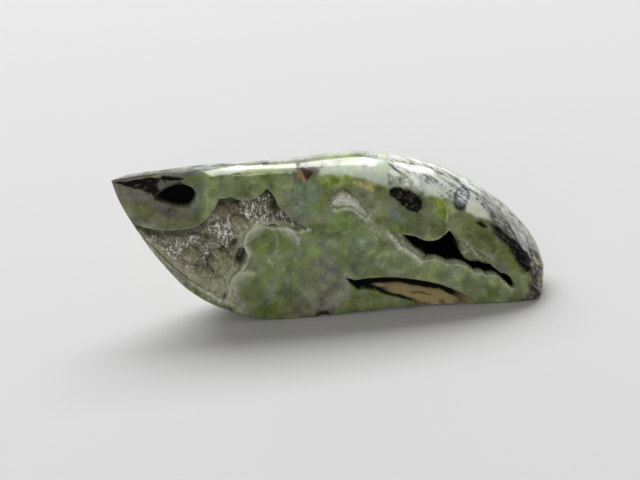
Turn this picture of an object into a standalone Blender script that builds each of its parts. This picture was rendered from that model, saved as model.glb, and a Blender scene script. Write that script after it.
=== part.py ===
# Wavellite cabochon: a polished freeform stone that stands on its lower edge, with open
# hollows in its front face. Two of the hollows hold a crust of crystals.
# Run with: blender --background --python part.py
#
# Frame: +X runs from the pointed tip to the round nose, the front face looks along -Y,
# +Z is up. The origin is the middle of the stone's box, on the surface it stands on.

import bpy
import bmesh
import numpy as np
from mathutils import Matrix, Vector

MM = 0.001                      # every length below is in millimetres

# The body is a loft between four lines that run from the tip to the nose, as (x, y, z):
# the front foot, the front ridge, the crest at the back of the top, and the back foot.
TIP = (-22.95, -2.9, 15.9)
NOSE = (22.95, -1.3, 2.2)
FOOT = [TIP, (-22.5, -3.2, 14.3), (-21.2, -3.7, 11.5), (-18.4, -4.5, 7.0), (-15.4, -5.1, 3.5),
        (-12.4, -5.4, 1.6), (-8.3, -5.7, 0.2), (-3.7, -5.7, -0.2), (2.3, -5.7, 0.2),
        (7.8, -5.6, 0.3), (13.8, -5.7, 0.15), (19.3, -5.7, -0.15), (21.0, -5.7, 0.0),
        (21.8, -5.1, 0.05), (22.5, -3.6, 0.4), NOSE]
RIDGE = [TIP, (-19.9, -2.9, 15.9), (-13.3, -2.9, 15.7), (-7.5, -2.9, 15.7), (-1.5, -3.0, 15.3),
         (3.3, -3.1, 14.7), (7.7, -3.4, 12.8), (12.1, -3.7, 11.4), (15.3, -4.0, 9.6),
         (17.9, -4.4, 7.1), (19.5, -4.7, 5.4), (20.6, -5.0, 3.7), (21.2, -5.2, 2.4),
         (21.8, -4.6, 2.3), (22.5, -3.2, 2.7), NOSE]
CREST = [TIP, (-21.2, -2.1, 16.1), (-18.2, -1.3, 16.0), (-14.2, -0.3, 15.8), (-9.2, 1.2, 15.1),
         (-4.0, 2.5, 14.6), (1.4, 3.7, 14.5), (6.7, 4.5, 13.8), (10.8, 4.7, 12.6),
         (14.3, 4.7, 10.9), (17.3, 4.3, 9.2), (19.6, 3.7, 7.7), (21.4, 2.5, 6.0),
         (22.5, 0.9, 4.2), NOSE]
BACK = [TIP, (-21.2, -1.9, 12.3), (-18.4, -0.5, 8.3), (-15.4, 0.5, 5.2), (-12.4, 1.3, 2.8),
        (-8.3, 2.1, 0.6), (-3.7, 2.7, -0.1), (2.3, 3.5, 0.4), (7.8, 3.9, 0.7), (13.8, 3.9, 0.5),
        (19.3, 2.9, -0.15), (21.4, 1.3, 0.4), NOSE]

# How far the rounding reaches along the walls from each of the four corners, at an x:
# front foot, ridge, crest, back foot.
ROUNDING = [(-22.95, 0.5, 0.4, 0.6, 1.0), (-15.2, 1.0, 0.7, 1.6, 1.6), (-7.2, 0.7, 1.0, 2.6, 2.2),
            (2.8, 0.6, 1.6, 3.4, 2.6), (11.8, 0.6, 2.4, 4.0, 2.6), (18.8, 0.6, 2.2, 3.6, 2.4),
            (21.2, 0.7, 1.6, 3.4, 2.4), (22.0, 1.2, 1.6, 3.0, 2.2), (22.95, 1.5, 2.0, 3.0, 2.2)]
# How far the middle of each wall bows out, at an x: front face, top, back, underside.
BOW = [(-22.95, 0.0, 0.05, 0.1, 0.1), (-15.2, 0.35, 0.3, 0.7, 0.4), (-4.2, 0.5, 0.5, 1.3, 0.2),
       (4.8, 0.5, 0.8, 1.3, 0.15), (12.8, 0.5, 1.0, 1.0, 0.15), (18.8, 0.3, 0.8, 0.5, 0.2),
       (22.95, 0.0, 0.0, 0.0, 0.0)]
STATIONS = 54                   # sections from tip to nose
RING_STEPS = (3, 9, 4, 6, 4, 8, 4, 5)   # points on each corner and each wall, in turn

# The front face leans back: y = FACE_Y + FACE_LEAN * z. Hollows are drawn on it as seen
# from the front, as scallops (x, z, bulge). The bulge is how far the arc to the next point
# bows out of the hollow, so it is negative where the rim swells into it. Each outline runs
# to the right along its upper rim and back along its lower one.
FACE_Y = -5.7
FACE_LEAN = 0.176
ARC_STEP = 0.45                 # length of one side of an arc

LEFT_HOLLOW = [(-20.9, 11.2, -0.4), (-14.9, 10.6, -0.5), (-12.1, 13.4, -0.1), (-10.9, 13.5, -0.8),
               (-7.1, 14.1, 0.15), (-6.0, 12.2, -0.25), (-2.7, 9.6, 0.0), (-4.3, 9.5, -0.3),
               (-6.7, 10.0, -0.43), (-9.1, 9.9, -0.5), (-9.3, 7.3, 0.1), (-10.2, 5.7, -0.35),
               (-11.4, 3.7, -0.05), (-11.7, 2.7, 0.1), (-12.8, 3.5, 0.0), (-15.0, 5.3, 0.1),
               (-19.9, 10.1, 0.1)]
LEFT_DEPTH = [(-21.0, 1.0), (-2.7, 2.4)]
MIDDLE_HOLLOW = [(-0.6, 12.2, 0.1), (0.7, 13.4, 0.15), (2.4, 12.3, 0.0), (3.5, 10.8, 0.0),
                 (3.1, 10.3, 0.0), (1.8, 11.5, -0.15), (0.0, 11.5, 0.1)]
MIDDLE_DEPTH = [(-1.0, 1.3), (4.0, 1.3)]
# The crusts fill those two hollows and stay clear of their rims.
LEFT_CRUST = [(-19.2, 10.2, -0.2), (-14.7, 10.1, -0.5), (-11.8, 13.0, 0.0), (-10.9, 13.1, -0.75),
              (-7.4, 13.4, 0.0), (-6.4, 12.0, -0.15), (-5.2, 10.8, 0.0), (-5.4, 10.6, -0.1),
              (-6.8, 10.5, -0.45), (-9.5, 10.2, -0.5), (-9.7, 7.2, 0.0), (-10.5, 5.9, -0.35),
              (-11.8, 3.9, 0.0), (-12.0, 3.4, 0.0), (-12.6, 3.8, 0.0), (-14.7, 5.6, 0.1),
              (-18.8, 9.6, 0.0)]
MIDDLE_CRUST = [(-0.15, 12.15, 0.08), (0.7, 12.95, 0.1), (1.3, 12.8, 0.0), (2.2, 12.0, 0.0),
                (3.0, 10.9, 0.0), (1.9, 11.9, -0.1), (0.1, 11.9, 0.0)]
DEEP_HOLLOW = [(5.3, 9.0, -0.05), (8.3, 8.1, -0.75), (11.8, 8.5, 0.1), (16.3, 5.0, 0.0),
               (16.3, 4.4, 0.0), (17.3, 3.5, 0.1), (18.2, 3.1, 0.1), (18.9, 1.7, 0.0),
               (18.5, 1.6, 0.0), (17.3, 2.9, -0.25), (15.8, 3.3, -0.2), (14.5, 3.7, -0.45),
               (11.6, 4.9, -0.4), (8.9, 5.4, -0.15), (6.7, 7.2, -0.1)]
DEEP_DEPTH = [(5.0, 1.2), (7.0, 4.0), (9.0, 5.6), (13.0, 5.6), (16.0, 3.6), (19.0, 1.2)]
PIT = [(-18.6, 14.0, 0.05), (-16.2, 15.0, 0.25), (-14.5, 14.0, 0.25), (-15.6, 12.7, 0.1)]
PIT_DEPTH = [(-18.6, 0.6), (-17.0, 1.4), (-14.5, 1.5)]
# The tan hollow is deepest under its upper rim and runs out at the stone's lower edge.
TAN_HOLLOW = [(0.7, 4.3, 0.0), (1.7, 3.9, 0.15), (6.4, 3.8, 0.1), (10.9, 2.7, 0.1),
              (14.5, 0.7, 0.0), (14.5, -0.6, 0.0), (8.4, -0.6, 0.0), (8.1, 0.9, 0.0),
              (6.4, 1.5, 0.1), (4.0, 2.5, -0.1), (2.1, 2.7, 0.1)]
TAN_UNDERCUT = 1.4              # depth under the upper rim
TAN_SHALLOW = 0.45              # depth at the stone's lower edge
TAN_RIM = [(0.7, 4.3), (6.4, 3.9), (10.9, 2.7), (14.5, 0.7)]
TAN_FADE = [(10.0, 1.0), (14.5, 0.2)]   # it runs out to the right

RIM_OUTSIDE = 1.2               # a cutter starts this far in front of the face
CRUST_GAP = 0.3                 # clear of the stone all round
CRUST_TOP = -0.05               # the crystals stop here, just behind the polished face

# Lumps on the right wall of the deep hollow: (x, z, depth of centre, radius).
WALL_LUMPS = [(13.4, 6.7, 2.6, 1.2), (14.7, 6.0, 2.5, 1.15), (15.9, 5.1, 2.3, 1.0),
              (14.0, 5.2, 2.9, 0.8), (16.9, 4.2, 2.0, 0.8)]

# The chip at the foot: a small pyramid knocked out of the lower edge.
CHIP_AT = (-1.5, -5.9, -0.1)
CHIP_RADIUS = 0.8

# Grown crystals of the two crusts. Balls are (x, z, radius), seen from the front.
LEFT_BALLS = [(-12.4, 6.8, 1.05), (-14.1, 6.2, 0.85), (-15.3, 7.9, 0.8), (-16.9, 8.5, 0.75),
              (-13.6, 8.6, 0.95), (-11.4, 9.0, 0.8), (-12.9, 10.7, 0.9), (-11.0, 11.3, 1.05),
              (-9.1, 11.6, 0.9), (-7.3, 11.9, 0.9), (-10.9, 7.3, 0.7), (-12.9, 4.6, 0.65),
              (-6.2, 11.1, 0.7), (-18.2, 9.4, 0.6)]
MIDDLE_BALLS = [(0.6, 12.3, 0.5), (1.5, 12.2, 0.45), (2.3, 11.5, 0.4)]
NEEDLE_SIDES = 4
LEFT_NEEDLES = 80
MIDDLE_NEEDLES = 16
NEEDLE_RADIUS = 0.3
NEEDLE_LENGTH = 1.1
CRUST_THICKNESS = 0.35

COLLECTION = "wavellite_cabochon"
CUTTERS = "cutters"


def along(x):
    """Place of x on the loft: 0 at the tip, 1 at the nose, where the sections crowd."""
    share = (np.asarray(x, float) - TIP[0]) / (NOSE[0] - TIP[0])
    return np.arcsin(np.clip(share, 0.0, 1.0)) * 2.0 / np.pi


def on_line(points, place):
    """Smooth y and z of a line of (x, y, z) points at each place, without overshoot."""
    points = np.array(points, float)
    knots = along(points[:, 0])
    values = points[:, 1:]
    step = np.diff(knots)
    rise = np.diff(values, axis=0) / step[:, None]
    weight_a = (2 * step[1:] + step[:-1])[:, None]
    weight_b = (step[1:] + 2 * step[:-1])[:, None]
    same_way = rise[:-1] * rise[1:] > 0
    before = np.where(same_way, rise[:-1], 1.0)
    after = np.where(same_way, rise[1:], 1.0)
    mean = (weight_a + weight_b) / (weight_a / before + weight_b / after)
    slope = np.vstack([rise[:1], np.where(same_way, mean, 0.0), rise[-1:]])
    i = np.clip(np.searchsorted(knots, place, side="right") - 1, 0, len(step) - 1)
    t = ((place - knots[i]) / step[i])[:, None]
    width = step[i][:, None]
    return (values[i] * (2 * t**3 - 3 * t**2 + 1) + slope[i] * width * (t**3 - 2 * t**2 + t)
            + values[i + 1] * (3 * t**2 - 2 * t**3) + slope[i + 1] * width * (t**3 - t**2))


def from_table(table, x):
    """Columns of a table at each x, in straight steps between its rows."""
    table = np.array(table, float)
    return np.stack([np.interp(x, table[:, 0], column) for column in table[:, 1:].T], axis=-1)


def sections(x):
    """Closed y-z loops of the body at each x: a rounded four-cornered shape with bowed walls."""
    place = along(x)
    corners = [on_line(line, place) for line in (FOOT, RIDGE, CREST, BACK)]
    reach = from_table(ROUNDING, x)
    bow = from_table(BOW, x)
    control = np.zeros((len(x), 8, 2))
    tangent = np.zeros((len(x), 8))
    for k in range(4):
        a, b = corners[k], corners[(k + 1) % 4]
        wall = b - a
        length = np.maximum(np.linalg.norm(wall, axis=1, keepdims=True), 1e-9)
        outward = np.stack([-wall[:, 1], wall[:, 0]], axis=1) / length
        control[:, 2 * k] = a
        control[:, 2 * k + 1] = (a + b) / 2 + outward * np.minimum(2 * bow[:, k:k + 1], length / 4)
        tangent[:, 2 * k] = reach[:, k]
    onward = np.roll(control, -1, axis=1) - control
    backward = np.roll(control, 1, axis=1) - control
    far = np.maximum(np.linalg.norm(onward, axis=2), 1e-9)
    near = np.maximum(np.linalg.norm(backward, axis=2), 1e-9)
    tangent = np.minimum(tangent, 0.46 * np.minimum(near, far))
    pieces = []
    for j, steps in enumerate(RING_STEPS):
        if j % 2:               # the middle of a wall is rounded by all that the corners leave
            back, ahead = near[:, j] - tangent[:, j - 1], far[:, j] - tangent[:, (j + 1) % 8]
            back, ahead = 0.98 * back, 0.98 * ahead
        else:
            back = ahead = tangent[:, j]
        start = control[:, j] + backward[:, j] * (back / near[:, j])[:, None]
        end = control[:, j] + onward[:, j] * (ahead / far[:, j])[:, None]
        w = (np.arange(steps) / steps)[None, :, None]
        pieces.append((1 - w)**2 * start[:, None] + 2 * w * (1 - w) * control[:, j][:, None]
                      + w**2 * end[:, None])
    return np.concatenate(pieces, axis=1)


def new_object(name, mesh, collection):
    """Put a mesh into the scene as one named object of a collection."""
    item = bpy.data.objects.new(name, mesh)
    collection.objects.link(item)
    return item


def mesh_from(name, points, faces):
    """A closed mesh from points in millimetres, with its faces turned outwards."""
    mesh = bpy.data.meshes.new(name)
    mesh.from_pydata([tuple(p) for p in np.asarray(points, float) * MM], [], faces)
    model = bmesh.new()
    model.from_mesh(mesh)
    if model.calc_volume(signed=True) < 0:
        bmesh.ops.reverse_faces(model, faces=model.faces)
    bmesh.ops.triangulate(model, faces=[f for f in model.faces if len(f.verts) > 4])
    model.to_mesh(mesh)
    model.free()
    return mesh


def body_mesh():
    """The polished stone before its hollows: sections joined from the tip to the nose."""
    place = np.linspace(0, 1, STATIONS + 2)[1:-1]
    x = TIP[0] + (NOSE[0] - TIP[0]) * np.sin(place * np.pi / 2)
    loops = sections(x)
    count = loops.shape[1]
    points = [(x[i], y, z) for i in range(STATIONS) for y, z in loops[i]]
    faces = []
    for i in range(STATIONS - 1):
        for j in range(count):
            k = (j + 1) % count
            faces.append((i * count + j, i * count + k, (i + 1) * count + k, (i + 1) * count + j))
    tip, nose = len(points), len(points) + 1
    last = (STATIONS - 1) * count
    for j in range(count):
        k = (j + 1) % count
        faces.append((tip, k, j))
        faces.append((nose, last + j, last + k))
    return mesh_from("stone", points + [TIP, NOSE], faces)


def arcs(outline):
    """Points of an outline of scallops (x, z, bulge), each one a circular arc."""
    points = []
    for (x0, z0, bulge), (x1, z1, _) in zip(outline, outline[1:] + outline[:1]):
        start, end = Vector((x0, z0)), Vector((x1, z1))
        chord = end - start
        left = Vector((-chord.y, chord.x)).normalized()
        steps = max(1, round(chord.length / ARC_STEP))
        for i in range(steps):
            t = i / steps
            # a parabola through the sagitta is close to the arc for these flat scallops
            points.append(start + chord * t + left * (4 * bulge * t * (1 - t)))
    return np.array([tuple(p) for p in points])


def face_y(z):
    """The front face's y at a height."""
    return FACE_Y + FACE_LEAN * z


def stack(name, rings):
    """A closed solid through rings of (x, y, z) points that all have the same count."""
    count = len(rings[0])
    points = np.concatenate(rings)
    faces = []
    for i in range(len(rings) - 1):
        for j in range(count):
            k = (j + 1) % count
            faces.append((i * count + j, i * count + k, (i + 1) * count + k, (i + 1) * count + j))
    faces.append(tuple(range(count - 1, -1, -1)))
    faces.append(tuple(range(len(points) - count, len(points))))
    return mesh_from(name, points, faces)


def ring(outline, depth):
    """An outline laid on the leaning face, at a depth behind it for each point."""
    return np.stack([outline[:, 0], face_y(outline[:, 1]) + depth, outline[:, 1]], axis=1)


def hollow_cutter(name, outline, depth_at, collection):
    """The space of a hollow, from in front of the face to its floor."""
    rim = arcs(outline)
    rings = [ring(rim, -RIM_OUTSIDE), ring(rim, depth_at(rim))]
    return as_cutter(new_object(name, stack(name, rings), collection))


def by_x(table):
    """A depth that depends on x alone, from a table of (x, depth)."""
    return lambda points: from_table(table, points[:, 0])[:, 0]


def tan_depth(points):
    """The tan hollow's depth: full under the rim, shallow two millimetres below it."""
    below = from_table(TAN_RIM, points[:, 0])[:, 0] - points[:, 1]
    share = np.clip(below / 2.0, 0.0, 1.0)
    fade = from_table(TAN_FADE, points[:, 0])[:, 0]
    return fade * (TAN_UNDERCUT + (TAN_SHALLOW - TAN_UNDERCUT) * share)


def as_cutter(item):
    """Mark an object that only shapes another one."""
    item.hide_render = True
    item.display_type = "WIRE"
    return item


def combine(item, other, operation, touches_itself=False):
    """Cut, join or trim an object by another with an exact Boolean."""
    modifier = item.modifiers.new(operation.title(), "BOOLEAN")
    modifier.operation = operation
    modifier.object = other
    modifier.use_self = touches_itself
    return modifier


def ball(name, centre, radius, subdivisions, collection):
    """A round lump that shapes the stone."""
    model = bmesh.new()
    bmesh.ops.create_icosphere(model, subdivisions=subdivisions, radius=radius * MM,
                               matrix=Matrix.Translation(Vector(centre) * MM))
    mesh = bpy.data.meshes.new(name)
    model.to_mesh(mesh)
    model.free()
    return as_cutter(new_object(name, mesh, collection))


def inside(point, outline):
    """Whether a front-view point lies inside a closed outline."""
    x, z = point
    ahead = np.roll(outline, -1, axis=0)
    crosses = (outline[:, 1] > z) != (ahead[:, 1] > z)
    rise = np.where(crosses, ahead[:, 1] - outline[:, 1], 1.0)
    at = outline[:, 0] + (z - outline[:, 1]) * (ahead[:, 0] - outline[:, 0]) / rise
    return bool(np.count_nonzero(crosses & (at > x)) % 2)


def crust(name, outline, depth_at, balls, needles, seed, collection, cutters):
    """A hollow's crystals as one crust: a skin on the floor, balls and four-sided needles."""
    limit = arcs(outline)
    room = stack(name + "_room", [ring(limit, CRUST_TOP), ring(limit, depth_at(limit) - CRUST_GAP)])
    room = as_cutter(new_object(name + "_room", room, cutters))
    low, high = limit.min(axis=0) - 1.0, limit.max(axis=0) + 1.0
    block = np.array([(low[0], low[1]), (low[0], high[1]), (high[0], high[1]), (high[0], low[1])])
    skin = stack(name, [ring(block, depth_at(block) - CRUST_GAP - CRUST_THICKNESS),
                        ring(block, depth_at(block) + CRUST_GAP)])
    random = np.random.default_rng(seed)
    model = bmesh.new()
    model.from_mesh(skin)
    for x, z, radius in balls:
        depth = float(depth_at(np.array([[x, z]]))[0]) - CRUST_GAP - 0.3 * radius
        place = Vector((x, face_y(z) + depth, z)) * MM
        bmesh.ops.create_icosphere(model, subdivisions=2, radius=radius * MM,
                                   matrix=Matrix.Translation(place))
    made = 0
    while made < needles:
        x, z = random.uniform(low, high)
        turn, lean, size = random.uniform(0, np.pi), random.uniform(-0.7, 0.7, 2), random.uniform(0.6, 1)
        if not inside((x, z), limit):
            continue
        depth = float(depth_at(np.array([[x, z]]))[0]) - CRUST_GAP - CRUST_THICKNESS
        pose = (Matrix.Translation(Vector((x, face_y(z) + depth - 0.1 * size, z)) * MM)
                @ Matrix.Rotation(np.pi / 2 + lean[0], 4, "X") @ Matrix.Rotation(lean[1], 4, "Y")
                @ Matrix.Rotation(turn, 4, "Z"))
        bmesh.ops.create_cone(model, cap_ends=True, segments=NEEDLE_SIDES,
                              radius1=NEEDLE_RADIUS * size * MM, radius2=0,
                              depth=NEEDLE_LENGTH * size * MM, matrix=pose)
        made += 1
    model.to_mesh(skin)
    model.free()
    item = new_object(name, skin, collection)
    combine(item, room, "INTERSECT", touches_itself=True)
    keep_largest_body(item)
    return item


def keep_largest_body(item):
    """Apply an object's modifiers and drop the loose bits that its trimming left."""
    evaluated = item.evaluated_get(bpy.context.evaluated_depsgraph_get())
    mesh = bpy.data.meshes.new_from_object(evaluated)
    model = bmesh.new()
    model.from_mesh(mesh)
    waiting = set(model.verts)
    bodies = []
    while waiting:
        body = {waiting.pop()}
        edge_of_body = list(body)
        while edge_of_body:
            vertex = edge_of_body.pop()
            for link in vertex.link_edges:
                other = link.other_vert(vertex)
                if other in waiting:
                    waiting.remove(other)
                    body.add(other)
                    edge_of_body.append(other)
        bodies.append(body)
    bodies.sort(key=len)
    loose = [vertex for body in bodies[:-1] for vertex in body]
    bmesh.ops.delete(model, geom=loose, context="VERTS")
    model.to_mesh(mesh)
    model.free()
    item.modifiers.clear()
    item.data = mesh


def finish(name, colour, roughness):
    """A plain material: these pieces are all stone, so none is metallic."""
    material = bpy.data.materials.new(name)
    material.use_nodes = True
    shader = material.node_tree.nodes["Principled BSDF"]
    shader.inputs["Base Color"].default_value = (*colour, 1.0)
    shader.inputs["Roughness"].default_value = roughness
    shader.inputs["Metallic"].default_value = 0.0
    material.diffuse_color = (*colour, 1.0)
    return material


def build():
    """Make the stone, cut its hollows and set the two crusts into them."""
    for item in list(bpy.data.objects):
        bpy.data.objects.remove(item, do_unlink=True)
    parts = bpy.data.collections.new(COLLECTION)
    cutters = bpy.data.collections.new(CUTTERS)
    bpy.context.scene.collection.children.link(parts)
    bpy.context.scene.collection.children.link(cutters)

    stone = new_object("stone", body_mesh(), parts)
    hollows = [("left_hollow", LEFT_HOLLOW, by_x(LEFT_DEPTH)),
               ("middle_hollow", MIDDLE_HOLLOW, by_x(MIDDLE_DEPTH)),
               ("deep_hollow", DEEP_HOLLOW, by_x(DEEP_DEPTH)),
               ("pit", PIT, by_x(PIT_DEPTH)),
               ("tan_hollow", TAN_HOLLOW, tan_depth)]
    for name, outline, depth_at in hollows:
        combine(stone, hollow_cutter(name, outline, depth_at, cutters), "DIFFERENCE")
    for number, (x, z, depth, radius) in enumerate(WALL_LUMPS, 1):
        lump = ball(f"wall_lump_{number}", (x, face_y(z) + depth, z), radius, 2, cutters)
        combine(stone, lump, "UNION")
    combine(stone, ball("chip", CHIP_AT, CHIP_RADIUS, 1, cutters), "DIFFERENCE")
    # the two small flat spots it rests on are where the floor's plane cuts the underside
    bpy.ops.mesh.primitive_cube_add(size=1.0, location=(0, 0, -5 * MM), scale=(60 * MM, 20 * MM, 10 * MM))
    ground = as_cutter(bpy.context.object)
    ground.name = "ground_off"
    ground.users_collection[0].objects.unlink(ground)
    cutters.objects.link(ground)
    combine(stone, ground, "DIFFERENCE")

    left = crust("left_crystals", LEFT_CRUST, by_x(LEFT_DEPTH), LEFT_BALLS, LEFT_NEEDLES, 3,
                 parts, cutters)
    middle = crust("middle_crystals", MIDDLE_CRUST, by_x(MIDDLE_DEPTH), MIDDLE_BALLS,
                   MIDDLE_NEEDLES, 5, parts, cutters)

    stone.data.materials.append(finish("polished_stone", (0.27, 0.33, 0.19), 0.25))
    crystal = finish("crystal_crust", (0.42, 0.43, 0.35), 0.6)
    left.data.materials.append(crystal)
    middle.data.materials.append(crystal)
    stone.data.shade_smooth()
    stone.data.set_sharp_from_angle(angle=np.radians(35))


build()
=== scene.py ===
# Wavellite cabochon: a polished freeform stone with open hollows, dressed for the camera.
# Lengths are in millimetres here, and each mesh is turned into metres as it is made.

import math

import bpy
import numpy as np
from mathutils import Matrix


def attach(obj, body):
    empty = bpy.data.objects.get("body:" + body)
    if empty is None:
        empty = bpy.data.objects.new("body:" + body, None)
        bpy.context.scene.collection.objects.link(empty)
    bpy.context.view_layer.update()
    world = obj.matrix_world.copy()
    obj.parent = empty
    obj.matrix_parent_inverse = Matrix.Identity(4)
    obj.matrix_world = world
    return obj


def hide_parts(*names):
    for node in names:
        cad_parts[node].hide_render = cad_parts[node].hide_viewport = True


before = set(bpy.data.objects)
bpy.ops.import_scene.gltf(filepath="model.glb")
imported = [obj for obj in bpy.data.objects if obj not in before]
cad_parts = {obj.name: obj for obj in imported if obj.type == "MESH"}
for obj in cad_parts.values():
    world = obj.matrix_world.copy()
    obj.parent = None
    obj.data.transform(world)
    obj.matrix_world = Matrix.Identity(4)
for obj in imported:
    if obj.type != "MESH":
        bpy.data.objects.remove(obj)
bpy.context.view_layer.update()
mm = 0.001
print("frame loaded:", ", ".join(sorted(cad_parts)))


class Wire:
    # a socket that takes + - * and adds a Math node for each
    def __init__(self, finish, socket):
        self.finish = finish
        self.socket = socket

    def join(self, operation, first, second):
        return self.finish.add("ShaderNodeMath", {"operation": operation}, {0: first, 1: second})

    def __add__(self, other):
        return self.join("ADD", self, other)

    def __sub__(self, other):
        return self.join("SUBTRACT", self, other)

    def __rsub__(self, other):
        return self.join("SUBTRACT", other, self)

    def __mul__(self, other):
        return self.join("MULTIPLY", self, other)

    __radd__ = __add__
    __rmul__ = __mul__


class Finish:
    # one material with its Principled shader; constant values go straight on the shader
    def __init__(self, name, values):
        self.material = bpy.data.materials.new(name)
        self.material.use_nodes = True
        self.tree = self.material.node_tree
        self.shader = self.tree.nodes["Principled BSDF"]
        for socket, value in values.items():
            self.shader.inputs[socket].default_value = value

    def add(self, kind, settings, sockets, output=0):
        # any other node: its settings first, then a value or a wire for each of its sockets
        node = self.tree.nodes.new(kind)
        for key, value in settings.items():
            setattr(node, key, value)
        for key, value in sockets.items():
            self.feed(node.inputs[key], value)
        return Wire(self, node.outputs[output])

    def attribute(self, name, output="Fac"):
        # what the mesh says at each point: a single number, or a colour
        return self.add("ShaderNodeAttribute", {"attribute_name": name}, {}, output)

    def feed(self, target, value):
        if isinstance(value, Wire):
            self.tree.links.new(value.socket, target)
        else:
            target.default_value = value

    def drive(self, **wires):
        # varying values: the shader's sockets are named without their spaces
        for socket in self.shader.inputs:
            if socket.name.replace(" ", "") in wires:
                self.feed(socket, wires[socket.name.replace(" ", "")])

    def blacken(self, share, values):
        # mixes in a second, black shader by a share
        black = self.add("ShaderNodeBsdfPrincipled", {}, values)
        first = Wire(self, self.shader.outputs[0])
        mixed = self.add("ShaderNodeMixShader", {}, {0: share, 1: first, 2: black})
        self.feed(self.tree.nodes["Material Output"].inputs["Surface"], mixed)


def linear(red, green, blue):
    # a colour as it looks, 0 to 255, as linear light: ((c + 0.055) / 1.055) ** 2.4
    c = np.array([red, green, blue], float) / 255
    return np.where(c > 0.04045, ((c + 0.055) / 1.055) ** 2.4, c / 12.92)


def smoothStep(low, high, value):
    # 0 below low, 1 above high, t * t * (3 - 2 * t) between
    t = np.clip((value - low) / (high - low), 0, 1)
    return t * t * (3 - 2 * t)


def hashed(cells, seed):
    # a random number from 0 to 1 for each whole-number cell
    table = np.random.default_rng(seed).random(4096)
    primes = (73856093, 19349663, 83492791)
    mixed = np.zeros(cells.shape[:-1], np.int64)
    for axis in range(cells.shape[-1]):
        mixed = mixed ^ cells[..., axis] * primes[axis]
    return table[mixed % len(table)]


def smoothNoise(points, size, seed):
    # random numbers from -1 to 1 at the corners of cubes of this size, blended across each
    # cube with t * t * (3 - 2 * t)
    cell = np.floor(points / size).astype(np.int64)
    t = smoothStep(0, 1, points / size - cell)
    total = np.zeros(points.shape[:-1])
    for corner in np.ndindex(2, 2, 2):
        weight = np.prod(np.where(np.array(corner), t, 1 - t), axis=-1)
        total += weight * (hashed(cell + np.array(corner), seed) * 2 - 1)
    return total


def cloud(points, size, octaves, seed):
    # smooth noises added up, each half as large and half as strong as the one before
    layers = [smoothNoise(points, size / 2**k, seed + k) / 2**k for k in range(octaves)]
    return sum(layers) / (2 - 2.0**(1 - octaves))


def distanceTo(x, z, outline, closed=True):
    # nearest distance from each (x, z) to a run of straight stretches, and the nearest point;
    # inside a closed outline the distance is positive, outside it is negative
    outline = np.array(outline, float)
    ends = np.roll(outline, -1, axis=0) if closed else outline[1:]
    best = np.full(x.shape, np.inf)
    nearX, nearZ = np.zeros(x.shape), np.zeros(x.shape)
    within = np.zeros(x.shape, bool)
    for (x0, z0), (x1, z1) in zip(outline, ends):
        dx, dz = x1 - x0, z1 - z0
        t = np.clip(((x - x0) * dx + (z - z0) * dz) / max(dx * dx + dz * dz, 1e-12), 0, 1)
        gapX, gapZ = x - x0 - t * dx, z - z0 - t * dz
        gap = gapX * gapX + gapZ * gapZ
        closer = gap < best
        best = np.where(closer, gap, best)
        nearX, nearZ = np.where(closer, x - gapX, nearX), np.where(closer, z - gapZ, nearZ)
        if closed and z0 != z1:
            within ^= ((z0 > z) != (z1 > z)) & (x < x0 + (z - z0) * dx / dz)
    best = np.sqrt(best)
    return (np.where(within, best, -best) if closed else best), nearX, nearZ


def nearShape(across, up, outline, reach):
    # which points lie within reach of a shape's box
    outline = np.array(outline)
    low, high = outline.min(axis=0) - reach, outline.max(axis=0) + reach
    return (across > low[0]) & (across < high[0]) & (up > low[1]) & (up < high[1])


def scallops(outline, step):
    # an outline of (x, z, bulge) as points: each stretch is a chord plus 4 * bulge * t * (1 - t)
    # to its left
    points = []
    for (x0, z0, bulge), (x1, z1, _) in zip(outline, outline[1:] + outline[:1]):
        chord = np.array([x1 - x0, z1 - z0])
        length = np.hypot(*chord)
        t = np.arange(max(1, round(length / step)))[:, None] / max(1, round(length / step))
        left = np.array([-chord[1], chord[0]]) / length
        points.append(np.array([x0, z0]) + chord * t + left * 4 * bulge * t * (1 - t))
    return np.concatenate(points)


def gridMesh(name, points, faces, finish, smooth=True):
    # one mesh object at the origin, with its place in its vertices
    mesh = bpy.data.meshes.new(name)
    mesh.vertices.add(len(points))
    mesh.vertices.foreach_set("co", (np.asarray(points) * mm).astype(np.float32).ravel())
    mesh.loops.add(faces.size)
    mesh.loops.foreach_set("vertex_index", faces.astype(np.int32).ravel())
    mesh.polygons.add(len(faces))
    mesh.polygons.foreach_set("loop_start", np.arange(0, faces.size, faces.shape[1], dtype=np.int32))
    mesh.update(calc_edges=True)
    mesh.validate()
    mesh.polygons.foreach_set("use_smooth", np.full(len(mesh.polygons), smooth))
    mesh.materials.append(finish.material)
    piece = bpy.data.objects.new(name, mesh)
    bpy.context.scene.collection.objects.link(piece)
    return piece


def giveNumbers(piece, **columns):
    # one attribute for each column: a single number or a colour at every vertex
    for name, values in columns.items():
        values = np.asarray(values, np.float32)
        if values.ndim == 2:
            values = np.concatenate([values, np.ones((len(values), 1), np.float32)], axis=1)
            layer = piece.data.attributes.new(name, "FLOAT_COLOR", "POINT")
            layer.data.foreach_set("color", values.ravel())
        else:
            layer = piece.data.attributes.new(name, "FLOAT", "POINT")
            layer.data.foreach_set("value", values.ravel())


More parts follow.
